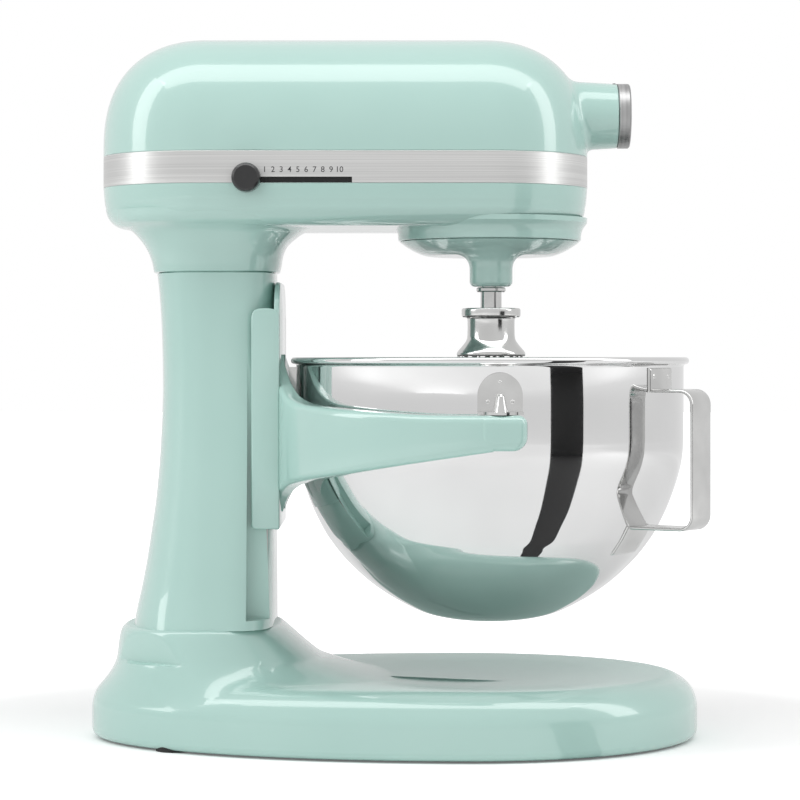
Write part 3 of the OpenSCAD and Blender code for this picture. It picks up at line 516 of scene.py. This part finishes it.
def makeColumn():
    rings = []
    for i in range(64):
        z = 69 + 210 * i / 63
        rear, half = smoothTable(columnRows, z)
        rings.append(oval(rear, column["front"], -110, half, 2.5, 4, z, 144))
    rear, half = smoothTable(columnRows, column["seam"])
    rings[-1] = oval(rear, column["front"], -110, half, 2.5, 4, 278.3, 144)
    rings.append(oval(rear + 0.9, column["front"] - 0.9, -110, half - 0.9, 2.5, 4, 278.9, 144))
    points, faces = loft(rings, True, True)
    piece = makePiece(
        "columnCasting", points, faces, enamel, "stand", ["column_casting"], 40,
    )
    for side in (-1, 1):
        y0, y1 = sorted((side * column["railHalf"], side * 90))
        cutAway(piece, boxPart(-87, -50, y0, y1, column["railLow"], column["railHigh"]))
    cutAway(piece, boxPart(-90, -60, -9, 9, 128, 250))
    cutAway(piece, boxPart(-129, -86, -26, 26, 68, 262))
    return piece


makeColumn()
print("column ready")

# lower head: gearcase, neck and the boss over the planetary housing

head = {
    "radius": 62,
    "back": -114,
    "front": 54,
    "low": 305.5,
    "bandLow": 329.7,
    "bandHigh": 348.8,
    "top": 419.3,
    "bandDeep": 1.3,
    "split": 339.2,
    "domeLow": 350,
    "hubZ": 374,
}
slot = {"rear": -93.5, "front": -25, "low": 330, "high": 333.4}
neckRows = [
    [279, -145.4, -70, 40.2], [283, -146, -69, 40.4], [289, -147.8, -68, 41.2], [295, -150.8, -65.6, 43],
    [300, -154.6, -60.6, 45.8], [304, -158.6, -54.8, 49], [306.5, -163, -46, 53], [308.6, -168, -36, 58],
    [312, -170, -32, 59.6], [316, -171.5, -28, 60.1],
]


def lowerProfile():
    profile = [(0.5, head["low"]), (30, head["low"]), (head["radius"] - 14, head["low"])]
    for i in range(1, 15):
        a = math.radians(90 * i / 14)
        profile.append((head["radius"] - 14 + 12.6 * math.sin(a), head["low"] + 12.5 * (1 - math.cos(a))))
    for i in range(1, 7):
        t = i / 6
        profile.append(
            (
                head["radius"] - 1.4 + 1.4 * t**0.6,
                head["low"] + 12.5 + (head["bandLow"] - head["low"] - 12.5) * t,
            )
        )
    return profile


def makeLowerHead():
    profile = lowerProfile()
    rings = [stadiumRing(r, z) for r, z in profile]
    rings += [
        stadiumRing(head["radius"] - 0.35, head["bandLow"] - 0.02),
        stadiumRing(head["radius"] - head["bandDeep"], head["bandLow"]),
        stadiumRing(head["radius"] - head["bandDeep"], head["split"]),
    ]
    shell = loft(rings, True, True)
    neckRings = []
    low, high, middle = neckRows[0][0], neckRows[-1][0], -108
    for i in range(42):
        z = low + 0.6 + (high - low - 0.6) * i / 41
        rear, front, half = smoothTable(neckRows, z)
        neckRings.append(oval(rear, front, middle, half, 2.4, 3, z, 144))
    rear, front, half = smoothTable(neckRows, low)
    neckRings.insert(0, oval(rear + 0.8, front - 0.8, middle, half - 0.8, 2.4, 3, low + 0.02, 144))
    neck = loft(neckRings, True, True)
    boss = [(0.1, 298.3), (53.2, 298.3)] + [
        (54.2 + 0.9 * sine(a), 299.2 - 0.9 * cosine(a))
        for a in range(10, 91, 16)
    ]
    boss += [(55.2, 301), (55.6, 303.4), (56.3, 305.4), (57.4, 307.2), (58.8, 309), (59, 312)]
    rim = revolve(boss, (57, 0), 160)
    points, faces = joined(shell, neck, rim)
    piece = makePiece(
        "gearcaseHousing", points, faces, enamel, "stand", ["gearcase_housing"], 40,
    )
    cutAway(piece, boxPart(slot["rear"], slot["front"], -75, -59.4, slot["low"], slot["high"]))
    return piece


makeLowerHead()
print("lower head ready")

# upper head: motor housing, hub snout, trim band, speed scale


def domeRadius(z):
    u = max(0.0, (z - head["domeLow"]) / (head["top"] - head["domeLow"]))
    return head["radius"] * max(0.0, 1 - u**2.6) ** (1 / 2.2)


def makeMotorHousing():
    inner, low, high = head["radius"] - head["bandDeep"], head["split"], head["bandHigh"]
    rings = [
        stadiumRing(inner, low),
        stadiumRing(inner, high),
        stadiumRing(head["radius"] - 0.3, high + 0.02),
        stadiumRing(head["radius"], high + 0.4),
    ]
    for i in range(1, 56):
        t = math.sin(math.pi / 2 * i / 56)
        z = head["domeLow"] + (head["top"] - head["domeLow"]) * t
        rings.append(stadiumRing(domeRadius(z), z))
    rings.append(stadiumRing(0.4, head["top"] - 0.001))
    points, faces = loft(rings, True, True)
    piece = makePiece(
        "motorHousing", points, faces, enamel, "stand", ["motor_housing"], 40,
    )
    bore = [
        [
            (x, 18 * math.cos(2 * math.pi * i / 64), head["hubZ"] + 18 * math.sin(2 * math.pi * i / 64))
            for i in range(64)
        ]
        for x in (104, 140)
    ]
    cutAway(piece, loft(bore, True, True, False))
    return piece


def snoutRadius(x):
    return 21.1 - (x - 105.7) * 0.0603


def domeX(y, z):
    return head["front"] + math.sqrt(max(0, domeRadius(z) ** 2 - y * y))


def makeSnout(n=112):
    def around(radius, angle):
        return radius * math.cos(angle), head["hubZ"] + radius * math.sin(angle)

    rings = []
    steps = 16
    for s in range(steps):
        ring = []
        for i in range(n):
            a = 2 * math.pi * i / n
            reach = 25.6 + 1.6 * math.sin(a)
            y0, z0 = around(reach, a)
            y1, z1 = around(reach - 3, a)
            p0 = np.array((domeX(y0, z0), y0, z0))
            ahead = np.array((domeX(y1, z1), y1, z1))
            x3 = 117 - 3.5 * math.sin(a)
            y3, z3 = around(snoutRadius(x3), a)
            p3 = np.array((x3, y3, z3))
            lean = (ahead - p0) / np.linalg.norm(ahead - p0)
            far = np.linalg.norm(p3 - p0)
            ring.append(
                bezier(p0, p0 + lean * far * 0.42, p3 - np.array((far * 0.5, 0, 0)), p3, s / steps)
            )
        rings.append(ring)
    for x, r in [
        (None, None), (125, None), (133.3, None), (133.7, 19.15), (133.9, 18.8), (133.9, 15.6),
        (133.6, 15.25), (106, 15.25), (105.9, 15), (105.9, 9.2), (96, 9.1),
    ]:
        ring = []
        for i in range(n):
            a = 2 * math.pi * i / n
            xx = 117 - 3.5 * math.sin(a) if x is None else x
            y, z = around(snoutRadius(xx) if r is None else r, a)
            ring.append((xx, y, z))
        rings.append(ring)
    points, faces = loft(rings, False, False)
    piece = makePiece("hubSnout", points, faces, enamel, "stand", (), 40)
    cutAway(piece, boxPart(129.6, 140, -4.4, 4.4, 389, 400))
    return piece


def makeTrimBand():
    low, high, r = head["bandLow"] + 0.05, head["bandHigh"] - 0.05, head["radius"]
    rings = [
        stadiumRing(q, z)
        for q, z in [
            (r - 1.25, low), (r - 0.25, low), (r, low + 0.3), (r, high - 0.3), (r - 0.25, high),
            (r - 1.25, high),
        ]
    ]
    points, faces = loft(rings + [rings[0]])
    piece = makePiece("trimBand", points, faces, bandSteel, "stand", ["trim_band"], 40)
    cutAway(piece, boxPart(slot["rear"], slot["front"], -75, -50, slot["low"], slot["high"]))
    # a black strip at the back of the slot pocket, in the black of the speed slider; it is also painted
    # shade for the slot's dark inside
    points, faces = boxPart(-93.4, -25.1, -60.6, -59.5, 330.05, 333.35)
    makePiece("slotSliderAndShade", points, faces, blackMatt, "stand")
    return piece


scale = {"first": -75.8, "step": 4.83, "height": 337.5, "size": 4.7}


def makeScale():
    for number in range(1, 11):
        curve = bpy.data.curves.new(f"scaleFigure{number}", "FONT")
        curve.body = str(number)
        curve.size = scale["size"] * mm
        curve.align_x = "CENTER"
        curve.align_y = "CENTER"
        curve.extrude = 0.03 * mm
        curve.offset = 0.02 * mm
        figure = bpy.data.objects.new(f"scaleFigure{number}", curve)
        bpy.context.scene.collection.objects.link(figure)
        figure.rotation_euler = (math.pi / 2, 0, 0)
        figure.location = (
            (scale["first"] + scale["step"] * (number - 1)) * mm,
            -(head["radius"] + 0.04) * mm,
            scale["height"] * mm,
        )
        curve.materials.append(numeralGrey)
        bpy.context.view_layer.update()
        mesh = bpy.data.meshes.new_from_object(figure)
        solid = bpy.data.objects.new(f"scaleFigure.{number}", mesh)
        solid.matrix_world = figure.matrix_world.copy()
        bpy.context.scene.collection.objects.link(solid)
        bpy.data.objects.remove(figure)
        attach(solid, "stand")


makeMotorHousing()
makeSnout()
makeTrimBand()
makeScale()
print("upper head ready")

# planetary housing

planet = {"x": 57, "orbit": -28, "tube": 12.75, "tubeLow": 270.1}
planetRows = [
    [0, 289], [30, 289], [36, 289.2], [41, 290.3], [45, 292], [49, 294.2], [52, 296.2], [53.6, 297.4],
]


def makePlanetary(n=112):
    profile = [(0.1, 289)] + [
        (r, monotone([p[0] for p in planetRows], [p[1] for p in planetRows], r))
        for r in np.linspace(20, 53.6, 30)
    ] + [(54, 297.75), (53.8, 298), (0.1, 298)]
    dome = revolve(profile, (planet["x"], 0), 160)

    def domeHeight(x, y):
        r = math.hypot(x - planet["x"], y)
        return monotone([p[0] for p in planetRows], [p[1] for p in planetRows], r)

    rings = []
    cx, cy, r = planet["x"], planet["orbit"], planet["tube"]
    for radius, z in [
        (0.1, planet["tubeLow"]), (7, planet["tubeLow"]), (9.4, planet["tubeLow"] + 0.02),
    ] + [(9.6 + 3.15 * sine(a), 273.4 - 3.3 * cosine(a)) for a in range(8, 91, 9)] + [(r, 276), (r, 279)]:
        rings.append(circleRing((cx, cy), radius, z, n))
    for s in range(1, 15):
        ring = []
        for i in range(n):
            a = 2 * math.pi * i / n
            c, q = math.cos(a), math.sin(a)
            foot = (cx + 22 * c, cy + 22 * q)
            near = (cx + 19 * c, cy + 19 * q)
            p3 = (*foot, domeHeight(*foot) + 0.05)
            slope = (domeHeight(*near) - p3[2]) / 3
            ring.append(
                bezier(
                    (cx + r * c, cy + r * q, 280),
                    (cx + r * c, cy + r * q, 286),
                    (cx + 16 * c, cy + 16 * q, p3[2] + slope * 6 - 0.1),
                    p3,
                    s / 14,
                )
            )
        rings.append(ring)
    tube = loft(rings, True, False)
    points, faces = joined(dome, tube)
    return makePiece(
        "planetaryHousing", points, faces, enamel, "planetary",
        ["planetary_housing"], 40,
    )


makePlanetary()

# whisk

whisk = {"loops": 11, "wire": 2.0, "radius": 52}
wireRows = [
    [229, 19], [222, 22.5], [205, 30.5], [186, 39.5], [166, 47.5], [147, 52], [128, 50], [112, 41.5],
    [101.5, 29], [96, 15], [94.5, 0],
]


def curveThrough(points, perSpan=5):
    pts = [np.array(p, float) for p in points]
    pts = [2 * pts[0] - pts[1]] + pts + [2 * pts[-1] - pts[-2]]
    out = []
    for i in range(1, len(pts) - 2):
        for k in range(perSpan):
            t = k / perSpan
            a, b, c, d = pts[i - 1], pts[i], pts[i + 1], pts[i + 2]
            out.append(
                0.5
                * (
                    2 * b
                    + (c - a) * t
                    + (2 * a - 5 * b + 4 * c - d) * t * t
                    + (3 * b - a - 3 * c + d) * t**3
                )
            )
    out.append(pts[-2])
    return out


def tubeAlong(path, radius, sides=10):
    rings, side = [], np.array((0.0, 1.0, 0.0))
    for i, p in enumerate(path):
        a, b = path[max(0, i - 1)], path[min(len(path) - 1, i + 1)]
        t = (b - a) / np.linalg.norm(b - a)
        up = np.cross(side, t)
        rings.append(
            [
                tuple(
                    p
                    + radius * (
                        math.cos(2 * math.pi * k / sides) * side + math.sin(2 * math.pi * k / sides) * up
                    )
                )
                for k in range(sides)
            ]
        )
    return loft(rings, True, True)


def makeWhisk():
    parts = []
    for i in range(whisk["loops"]):
        lift = (i - (whisk["loops"] - 1) / 2) * 0.55

        def raised(z):
            return z + (lift * (150 - z) / 55 if z < 150 else 0)

        flat = [(-r, 0, raised(z)) for z, r in wireRows]
        flat += [
            (r * (1 - 0.21 * (z - 150) / 80 if z > 150 else 1), 0, raised(z))
            for z, r in reversed(wireRows[:-1])
        ]
        path = curveThrough(flat)
        points, faces = tubeAlong(path, whisk["wire"] / 2)
        a = 2 * math.pi * i / whisk["loops"]
        c, s = math.cos(a), math.sin(a)
        turned = [(planet["x"] + x * c - y * s, planet["orbit"] + x * s + y * c, z) for x, y, z in points]
        parts.append((turned, faces))
    points, faces = joined(*parts)
    makePiece("whiskWires", points, faces, wireSteel, "beater", ["whisk_wires"], 60)
    profile = [(6.3, 257.5), (16.2, 257.5)] + [
        (16.3 + 1.2 * sine(a), 256.3 + 1.2 * cosine(a))
        for a in range(10, 91, 16)
    ]
    profile += [
        (17.5, 253.5), (17.3, 252.7), (16.6, 252.1), (14.9, 251.9), (14.2, 251.4), (14.0, 250.4),
        (13.95, 246), (14.05, 241.5), (14.3, 239.4), (15, 237.8), (16.3, 236), (17.8, 234.2),
        (19.4, 232.4), (20.2, 231.2),
    ]
    profile += [
        (20.4, 230.4), (20.3, 229.5), (19.8, 229), (13.4, 229), (13, 229.4), (13, 231), (0.2, 231),
    ]
    points, faces = revolve(list(reversed(profile)), (planet["x"], planet["orbit"]), 128)
    makePiece("whiskHub", points, faces, polishedSteel, "beater", ["whisk_hub"], 32)


makeWhisk()
print("planetary and whisk ready")

bowl = {"x": 57, "thick": 0.9, "wall": 116.7, "handleTurn": -34, "handleReach": 144, "gripWidth": 23}
bowlRows = [
    [70.7, 0.5], [70.7, 12], [70.85, 20], [71.6, 28], [75, 41.1], [81.6, 54.7], [87.7, 64.7],
    [93.7, 72.9], [99.8, 79.8], [105.8, 85.9], [111.9, 91.2], [117.9, 95.7], [124, 99.7], [136, 105.8],
    [148.1, 110.6], [160.2, 114.3], [170, 116.1], [180, 116.7],
]


def wallRadius(z):
    rows = bowlRows[2:]
    return monotone([r[0] for r in rows], [r[1] for r in rows], min(z, 180))


def makeBowl():
    outer = [np.array((p[0], p[1])) for p in curveThrough([(r, z) for z, r in bowlRows], 6)]
    inner = []
    for i, p in enumerate(outer):
        a, b = outer[max(0, i - 1)], outer[min(len(outer) - 1, i + 1)]
        t = (b - a) / np.linalg.norm(b - a)
        inner.append((max(0.3, p[0] - bowl["thick"] * t[1]), p[1] + bowl["thick"] * t[0]))
    r = bowl["wall"]
    rim = [(r, 200), (r, 222.6), (r + 0.25, 223.6), (r + 0.9, 224.15)]
    rim += [(r + 1.3 + 2.0 * sine(a), 226.3 - 2.1 * cosine(a)) for a in range(0, 181, 15)]
    rim += [(r + 0.2, 228.3), (r - 0.55, 227.7), (r - 0.9, 226.6), (r - 0.9, 224), (r - 0.9, 200)]
    profile = [tuple(p) for p in outer] + rim + list(reversed(inner))
    points, faces = revolve(profile, (bowl["x"], 0), 224)
    return makePiece(
        "bowlShell", points, faces, mirrorSteel, "mixing_bowl", ["bowl", "bowl_bottom"], 45,
    )


def aroundBowl(points, turn):
    c, s = cosine(turn), sine(turn)
    return [(bowl["x"] + x * c - y * s, x * s + y * c, z) for x, y, z in points]


def weldPlate(halfWidth, low, high, thick, edge=1.4, n=25):
    us = sorted(set([-1, 1] + [math.sin(math.pi / 2 * (-1 + 2 * i / (n - 1))) for i in range(n)]))
    points, faces = [], []
    for v in us:
        z = (low + high) / 2 + v * (high - low) / 2
        for u in us:
            y = u * halfWidth
            d = min(halfWidth - abs(y), (high - low) / 2 * (1 - abs(v)), edge) / edge
            rise = -0.25 + (thick + 0.25) * math.sqrt(1 - (1 - d) ** 2)
            reach = wallRadius(z) + rise
            points.append((math.sqrt(reach * reach - y * y), y, z))
    m = len(us)
    for j in range(m - 1):
        for i in range(m - 1):
            a = j * m + i
            faces.append((a, a + 1, a + m + 1, a + m))
    return points, faces


def weldDot(y, z, rise, radius=2.0):
    points, faces = [], []
    for k, (q, h) in enumerate([(0.01, 0.22), (0.5, 0.2), (0.85, 0.1), (1, -0.05)]):
        for i in range(20):
            a = 2 * math.pi * i / 20
            yy, zz = y + radius * q * math.cos(a), z + radius * q * math.sin(a)
            reach = wallRadius(zz) + rise + h
            points.append((math.sqrt(reach * reach - yy * yy), yy, zz))
    for k in range(3):
        for i in range(20):
            j = (i + 1) % 20
            faces.append((k * 20 + i, (k + 1) * 20 + i, (k + 1) * 20 + j, k * 20 + j))
    return points, faces


def makeHandle():
    reach, high, low = bowl["handleReach"] - 1, 209, 129.5
    path = [(115.95, high), (124, high), (130, high)]
    path += [(reach - 8 + 8 * sine(a), high - 8 + 8 * cosine(a)) for a in range(0, 91, 9)]
    path += [(reach, 185), (reach, 169), (reach, 153)]
    path += [(reach - 8 + 8 * cosine(a), low + 8 - 8 * sine(a)) for a in range(0, 91, 9)]
    path += [(125, low), (112, low), (102.35, low)]
    half, edge = bowl["gripWidth"] / 2, 0.95
    section = []
    for cy, start in ((half - edge, -90), (-(half - edge), 90)):
        for a in range(0, 181, 22):
            q = math.radians(start + a)
            section.append((cy + edge * math.cos(q), edge * math.sin(q)))
    rings = []
    for i, p in enumerate(path):
        a, b = np.array(path[max(0, i - 1)]), np.array(path[min(len(path) - 1, i + 1)])
        t = (b - a) / np.linalg.norm(b - a)
        rings.append([(p[0] + w * -t[1], y, p[1] + w * t[0]) for y, w in section])
    strap = loft(rings, True, True)
    plates = [weldPlate(13.5, 208, 222.3, 1.5), weldPlate(13.5, 113.2, 130.3, 1.5)]
    dots = [
        weldDot(y, z, 1.5, 1.7)
        for y, z in ((-8.5, 217.3), (8.5, 217.3), (-8.5, 118.6), (8.5, 118.6))
    ]
    points, faces = joined(strap, *plates, *dots)
    makePiece(
        "bowlHandle", aroundBowl(points, bowl["handleTurn"]), faces, polishedSteel, "mixing_bowl",
        ["bowl_handle"], 40,
    )


support = {
    "plateFront": -68,
    "plateRear": -71.3,
    "sideIn": 41,
    "sideOut": 45.2,
    "padIn": 125,
    "padOut": 141,
    "edge": 1.1,
}
armRows = [
    [7, 125, 127, 136, 230], [13, 124.6, 129.4, 143, 221], [19.5, 124.2, 133, 149, 212],
    [27, 124, 135.4, 154, 204.8], [36, 123.8, 136, 157.5, 201], [48, 123.8, 136.4, 161.3, 199.3],
    [62, 124, 137.4, 166.3, 197.6], [76, 124.6, 139.2, 171.3, 196.3], [89, 125, 141, 175.9, 196.2],
]


def armSection(angle, side):
    rows = [[r[0] for r in armRows]] + [[r[k] for r in armRows] for k in range(1, 5)]
    near, far, low, high = [monotone(rows[0], rows[k], angle) for k in range(1, 5)]
    wide = min(4.5, 0.34 * (far - near))
    corners = [
        (near, low, wide * 0.4, 180),
        (far, low, wide, 270),
        (far, high, wide, 0),
        (near, high, wide * 0.4, 90),
    ]
    ring = []
    for x, z, r, start in corners:
        cx = x + (r if x == near else -r)
        cz = z + (r if z == low else -r)
        for a in range(0, 91, 15):
            q = math.radians(start + a)
            ring.append((cx + r * math.cos(q), cz + r * math.sin(q)))
    c, s = cosine(angle), sine(angle)
    return [(bowl["x"] - x * c, side * x * s, z) for x, z in ring]


def makeSupport():
    s = support
    plateLine = [
        (-44.6, 127), (44.6, 127), (44.9, 254), (43.6, 260), (40, 265), (33, 270), (24, 273), (-24, 273),
        (-33, 270), (-40, 265), (-43.6, 260), (-44.9, 254),
    ]
    points, faces = extruded(plateLine, lambda u, v, t: (t, u, v), s["plateRear"], s["plateFront"])
    plate = makePiece(
        "supportPlate", points, faces, enamel, "carrier", ["bowl_support"], 40,
    )
    bevelEdges(plate, 1.0, 3, 30)
    sideLine = [
        (-84.6, 129.5), (-84, 127.9), (-82.4, 127.2), (-68, 127.2), (-68, 253), (-69, 255.2),
        (-71.5, 256.8), (-75, 257.4), (-80, 257.2), (-82.6, 256.2), (-84, 254.4), (-84.6, 252),
    ]
    for side in (-1, 1):
        near, far = (s["sideIn"], s["sideOut"]) if side > 0 else (-s["sideOut"], -s["sideIn"])
        points, faces = extruded(sideLine, lambda u, v, t: (u, t, v), near, far)
        bevelEdges(
            makePiece(f"supportSide{side}", points, faces, enamel, "carrier", (), 40),
            s["edge"],
            4,
            40,
        )
        rings = [armSection(7 + 82 * i / 64, side) for i in range(65)]
        points, faces = loft(rings, True, True, side < 0)
        makePiece(f"supportArm{side}", points, faces, enamel, "carrier", (), 50)
        near, far = (s["padIn"], s["padOut"]) if side > 0 else (-s["padOut"], -s["padIn"])
        padLine = [(73.5, 196.3), (46, 196.3), (46, 184.5)] + [
            (54.2 - 8.2 * cosine(a), 184.5 - 8.2 * sine(a))
            for a in range(10, 91, 10)
        ]
        padLine += [
            (65.3 + 8.2 * sine(a), 184.5 - 8.2 * cosine(a))
            for a in range(0, 81, 10)
        ] + [(73.5, 184.5)]
        points, faces = extruded(padLine, lambda u, v, t: (u, t, v), near, far)
        bevelEdges(
            makePiece(f"supportPad{side}", points, faces, enamel, "carrier", (), 40),
            5,
            8,
            40,
        )


def makeEarWelds():
    parts = []
    for turn, tilt in ((90, 1), (-90, -1)):
        dots = [
            weldDot(y, z, 1.55, 1.0)
            for y, z in ((-7 + 2 * tilt * -1, 203.5), (7 - 2 * tilt, 203.5), (-2 * tilt, 214.5))
        ]
        for points, faces in dots:
            parts.append((aroundBowl(points, turn), faces))
    points, faces = joined(*parts)
    makePiece("earWelds", points, faces, polishedSteel, "mixing_bowl", (), 60)


makeBowl()
makeHandle()
makeSupport()
makeEarWelds()
print("bowl, handle and support ready")

finishes = [
    (blackGloss, ["thumb_knob", "lever_grip", "speed_knob"]),
    (blackMatt, ["speed_slider", "brush_holders", "cooling_fan"]),
    (capSteel, ["hub_cap"]),
    (polishedSteel, [
        "shaft_collar", "agitator_shaft", "planetary_pin", "cap_hinge_pin", "locating_pins", "lift_lever",
        "bowl_ears", "bowl_rear_bracket", "bowl_handle",
        "housing_screws", "neck_screws", "column_bolts", "bracket_screws",
    ]),
    (machinedSteel, [
        "guide_rails", "lift_shaft", "lift_crank", "crank_roller", "latch_spring",
        "ring_gear", "agitator_pinion", "centre_shaft", "centre_gear", "centre_bevel", "cross_shaft",
        "cross_pinion", "worm", "armature_shaft", "armature_core", "motor_stator", "hub_drive",
    ]),
    (castAlloy, [
        "lift_bracket", "rear_bearing", "front_bearing", "cross_bearing", "hub_bearing", "centre_bearing",
    ]),
    (bronze, ["worm_wheel", "lift_bush"]),
    (copper, ["motor_windings", "commutator"]),
    (rubberGrey, ["rubber_feet"]),
    (boardGreen, ["speed_board"]),
    (enamel, [
        "base_casting", "column_casting", "gearcase_housing", "motor_housing", "planetary_housing",
        "bowl_support",
    ]),
    (bandSteel, ["trim_band"]),
    (mirrorSteel, ["bowl", "bowl_bottom"]),
    (wireSteel, ["whisk_wires", "whisk_hub"]),
]


def dressNodes():
    left = set(nodes)
    for look, names in finishes:
        for name in names:
            nodes[name].data.materials[0] = look
            left.discard(name)
    if left:
        print("no finish for", sorted(left))


dressNodes()
print("finishes ready")

stage = {
    "floor": (252, 252, 252),
    "worldDiffuse": 0.47,
    "worldSeen": 0.83,
    "nearGlow": 0.13,
    "fadeFrom": 0.3,
    "fadeTo": 0.62,
    "mirrorGlow": 0.36,
    "top": 9.1,
    "left": 5.7,
    "right": 5.1,
    "front": 5,
}


def litCard(name, size, place, target, power, seen=True):
    data = bpy.data.lights.new(name, "AREA")
    data.shape = "RECTANGLE"
    data.size, data.size_y = size
    data.energy = power
    lamp = bpy.data.objects.new(name, data)
    bpy.context.scene.collection.objects.link(lamp)
    lamp.location = place
    lamp.rotation_euler = (Vector(target) - Vector(place)).to_track_quat("-Z", "Y").to_euler()
    lamp.visible_camera = False
    lamp.visible_glossy = seen
    return lamp


def makeFloor():
    mesh = bpy.data.meshes.new("floor")
    mesh.from_pydata([(-9, -9, 0), (9, -9, 0), (9, 9, 0), (-9, 9, 0)], [], [(0, 1, 2, 3)])
    floor = bpy.data.objects.new("floor", mesh)
    bpy.context.scene.collection.objects.link(floor)
    material, tree, shader = newMaterial("studioFloor")
    cloud = noiseOn(tree, 3)
    tree.links.new(
        tinted(
            tree,
            cloud.outputs["Fac"],
            srgb(*stage["floor"]),
            srgb(*[min(255, c + 2) for c in stage["floor"]]),
        ),
        shader.inputs["Base Color"],
    )
    shader.inputs["Roughness"].default_value = 0.8
    shader.inputs["Specular IOR Level"].default_value = 0.0
    # the floor turns into the white backdrop away from the object
    place = addNode(tree, "ShaderNodeTexCoord")
    far = addNode(tree, "ShaderNodeVectorMath", operation="LENGTH")
    tree.links.new(place.outputs["Object"], far.inputs[0])
    glow = ramped(tree, far.outputs["Value"], stage["nearGlow"], 1.0, stage["fadeFrom"], stage["fadeTo"])
    path = addNode(tree, "ShaderNodeLightPath")
    gain = addNode(tree, "ShaderNodeMath", operation="MULTIPLY")
    tree.links.new(glow, gain.inputs[0])
    tree.links.new(path.outputs["Is Camera Ray"], gain.inputs[1])
    mirrored = addNode(tree, "ShaderNodeMath", operation="MULTIPLY_ADD")
    tree.links.new(path.outputs["Is Glossy Ray"], mirrored.inputs[0])
    tree.links.new(
        ramped(tree, far.outputs["Value"], 0.0, stage["mirrorGlow"], 0.5, 1.8), mirrored.inputs[1],
    )
    tree.links.new(gain.outputs[0], mirrored.inputs[2])
    shader.inputs["Emission Color"].default_value = (1, 1, 1, 1)
    tree.links.new(mirrored.outputs[0], shader.inputs["Emission Strength"])
    mesh.materials.append(material)


def makeWorld():
    world = bpy.data.worlds.new("studio")
    world.use_nodes = True
    bpy.context.scene.world = world
    tree = world.node_tree
    shade = tree.nodes["Background"]
    shade.inputs["Color"].default_value = (stage["worldDiffuse"],) * 3 + (1,)
    mirrored = addNode(tree, "ShaderNodeBackground")
    mirrored.inputs["Color"].default_value = (stage["worldSeen"],) * 3 + (1,)
    seen = addNode(tree, "ShaderNodeBackground")
    seen.inputs["Color"].default_value = (1, 1, 1, 1)
    path = addNode(tree, "ShaderNodeLightPath")
    glossy = addNode(tree, "ShaderNodeMixShader")
    mix = addNode(tree, "ShaderNodeMixShader")
    tree.links.new(path.outputs["Is Glossy Ray"], glossy.inputs[0])
    tree.links.new(shade.outputs[0], glossy.inputs[1])
    tree.links.new(mirrored.outputs[0], glossy.inputs[2])
    tree.links.new(path.outputs["Is Camera Ray"], mix.inputs[0])
    tree.links.new(glossy.outputs[0], mix.inputs[1])
    tree.links.new(seen.outputs[0], mix.inputs[2])
    tree.links.new(mix.outputs[0], tree.nodes["World Output"].inputs["Surface"])


def darkCard(name, points):
    mesh = bpy.data.meshes.new(name)
    mesh.from_pydata(points, [], [(0, 1, 2, 3)])
    card = bpy.data.objects.new(name, mesh)
    bpy.context.scene.collection.objects.link(card)
    mesh.materials.append(blackMatt)
    card.visible_camera = False
    card.visible_diffuse = False
    card.visible_transmission = False
    card.visible_shadow = False


def cardPoint(azimuth, reach, z):
    a = math.radians(azimuth)
    return (0.057 + math.sin(a) * reach, -math.cos(a) * reach, z)


view = {"sensor": 36, "lens": 119.07, "shift": -0.05625, "place": (0.0029, -1.6, 0.2297)}


def makeCamera():
    data = bpy.data.cameras.new("camera")
    data.sensor_width = view["sensor"]
    data.lens = view["lens"]
    data.shift_y = view["shift"]
    camera = bpy.data.objects.new("camera", data)
    bpy.context.scene.collection.objects.link(camera)
    camera.location = view["place"]
    camera.rotation_euler = (math.pi / 2, 0, 0)
    bpy.context.scene.camera = camera


makeFloor()
makeWorld()
makeCamera()
darkCard(
    "darkCard",
    [cardPoint(32, 1.2, 0), cardPoint(51.5, 1.2, 0), cardPoint(51.5, 1.2, 0.3), cardPoint(32, 1.2, 0.3)],
)
darkCard(
    "darkRunner",
    [
        cardPoint(18, 0.105, 0.0005),
        cardPoint(30, 0.105, 0.0005),
        cardPoint(51.5, 1.21, 0.0005),
        cardPoint(32, 1.21, 0.0005),
    ],
)
litCard("topSoft", (2.0, 0.56), (0.0, -0.38, 1.4), (0, -0.25, 0), stage["top"])
litCard("leftSoft", (0.5, 1.25), (-1.35, -0.32, 0.98), (-0.05, 0, 0.35), stage["left"])
litCard("rightSoft", (0.44, 1.25), (1.35, -0.34, 0.98), (0.05, 0, 0.35), stage["right"])
litCard("frontSoft", (1.1, 1.5), (-0.95, -1.75, 0.75), (0.05, 0, 0.25), stage["front"], False)
bpy.context.scene.view_settings.view_transform = "Standard"
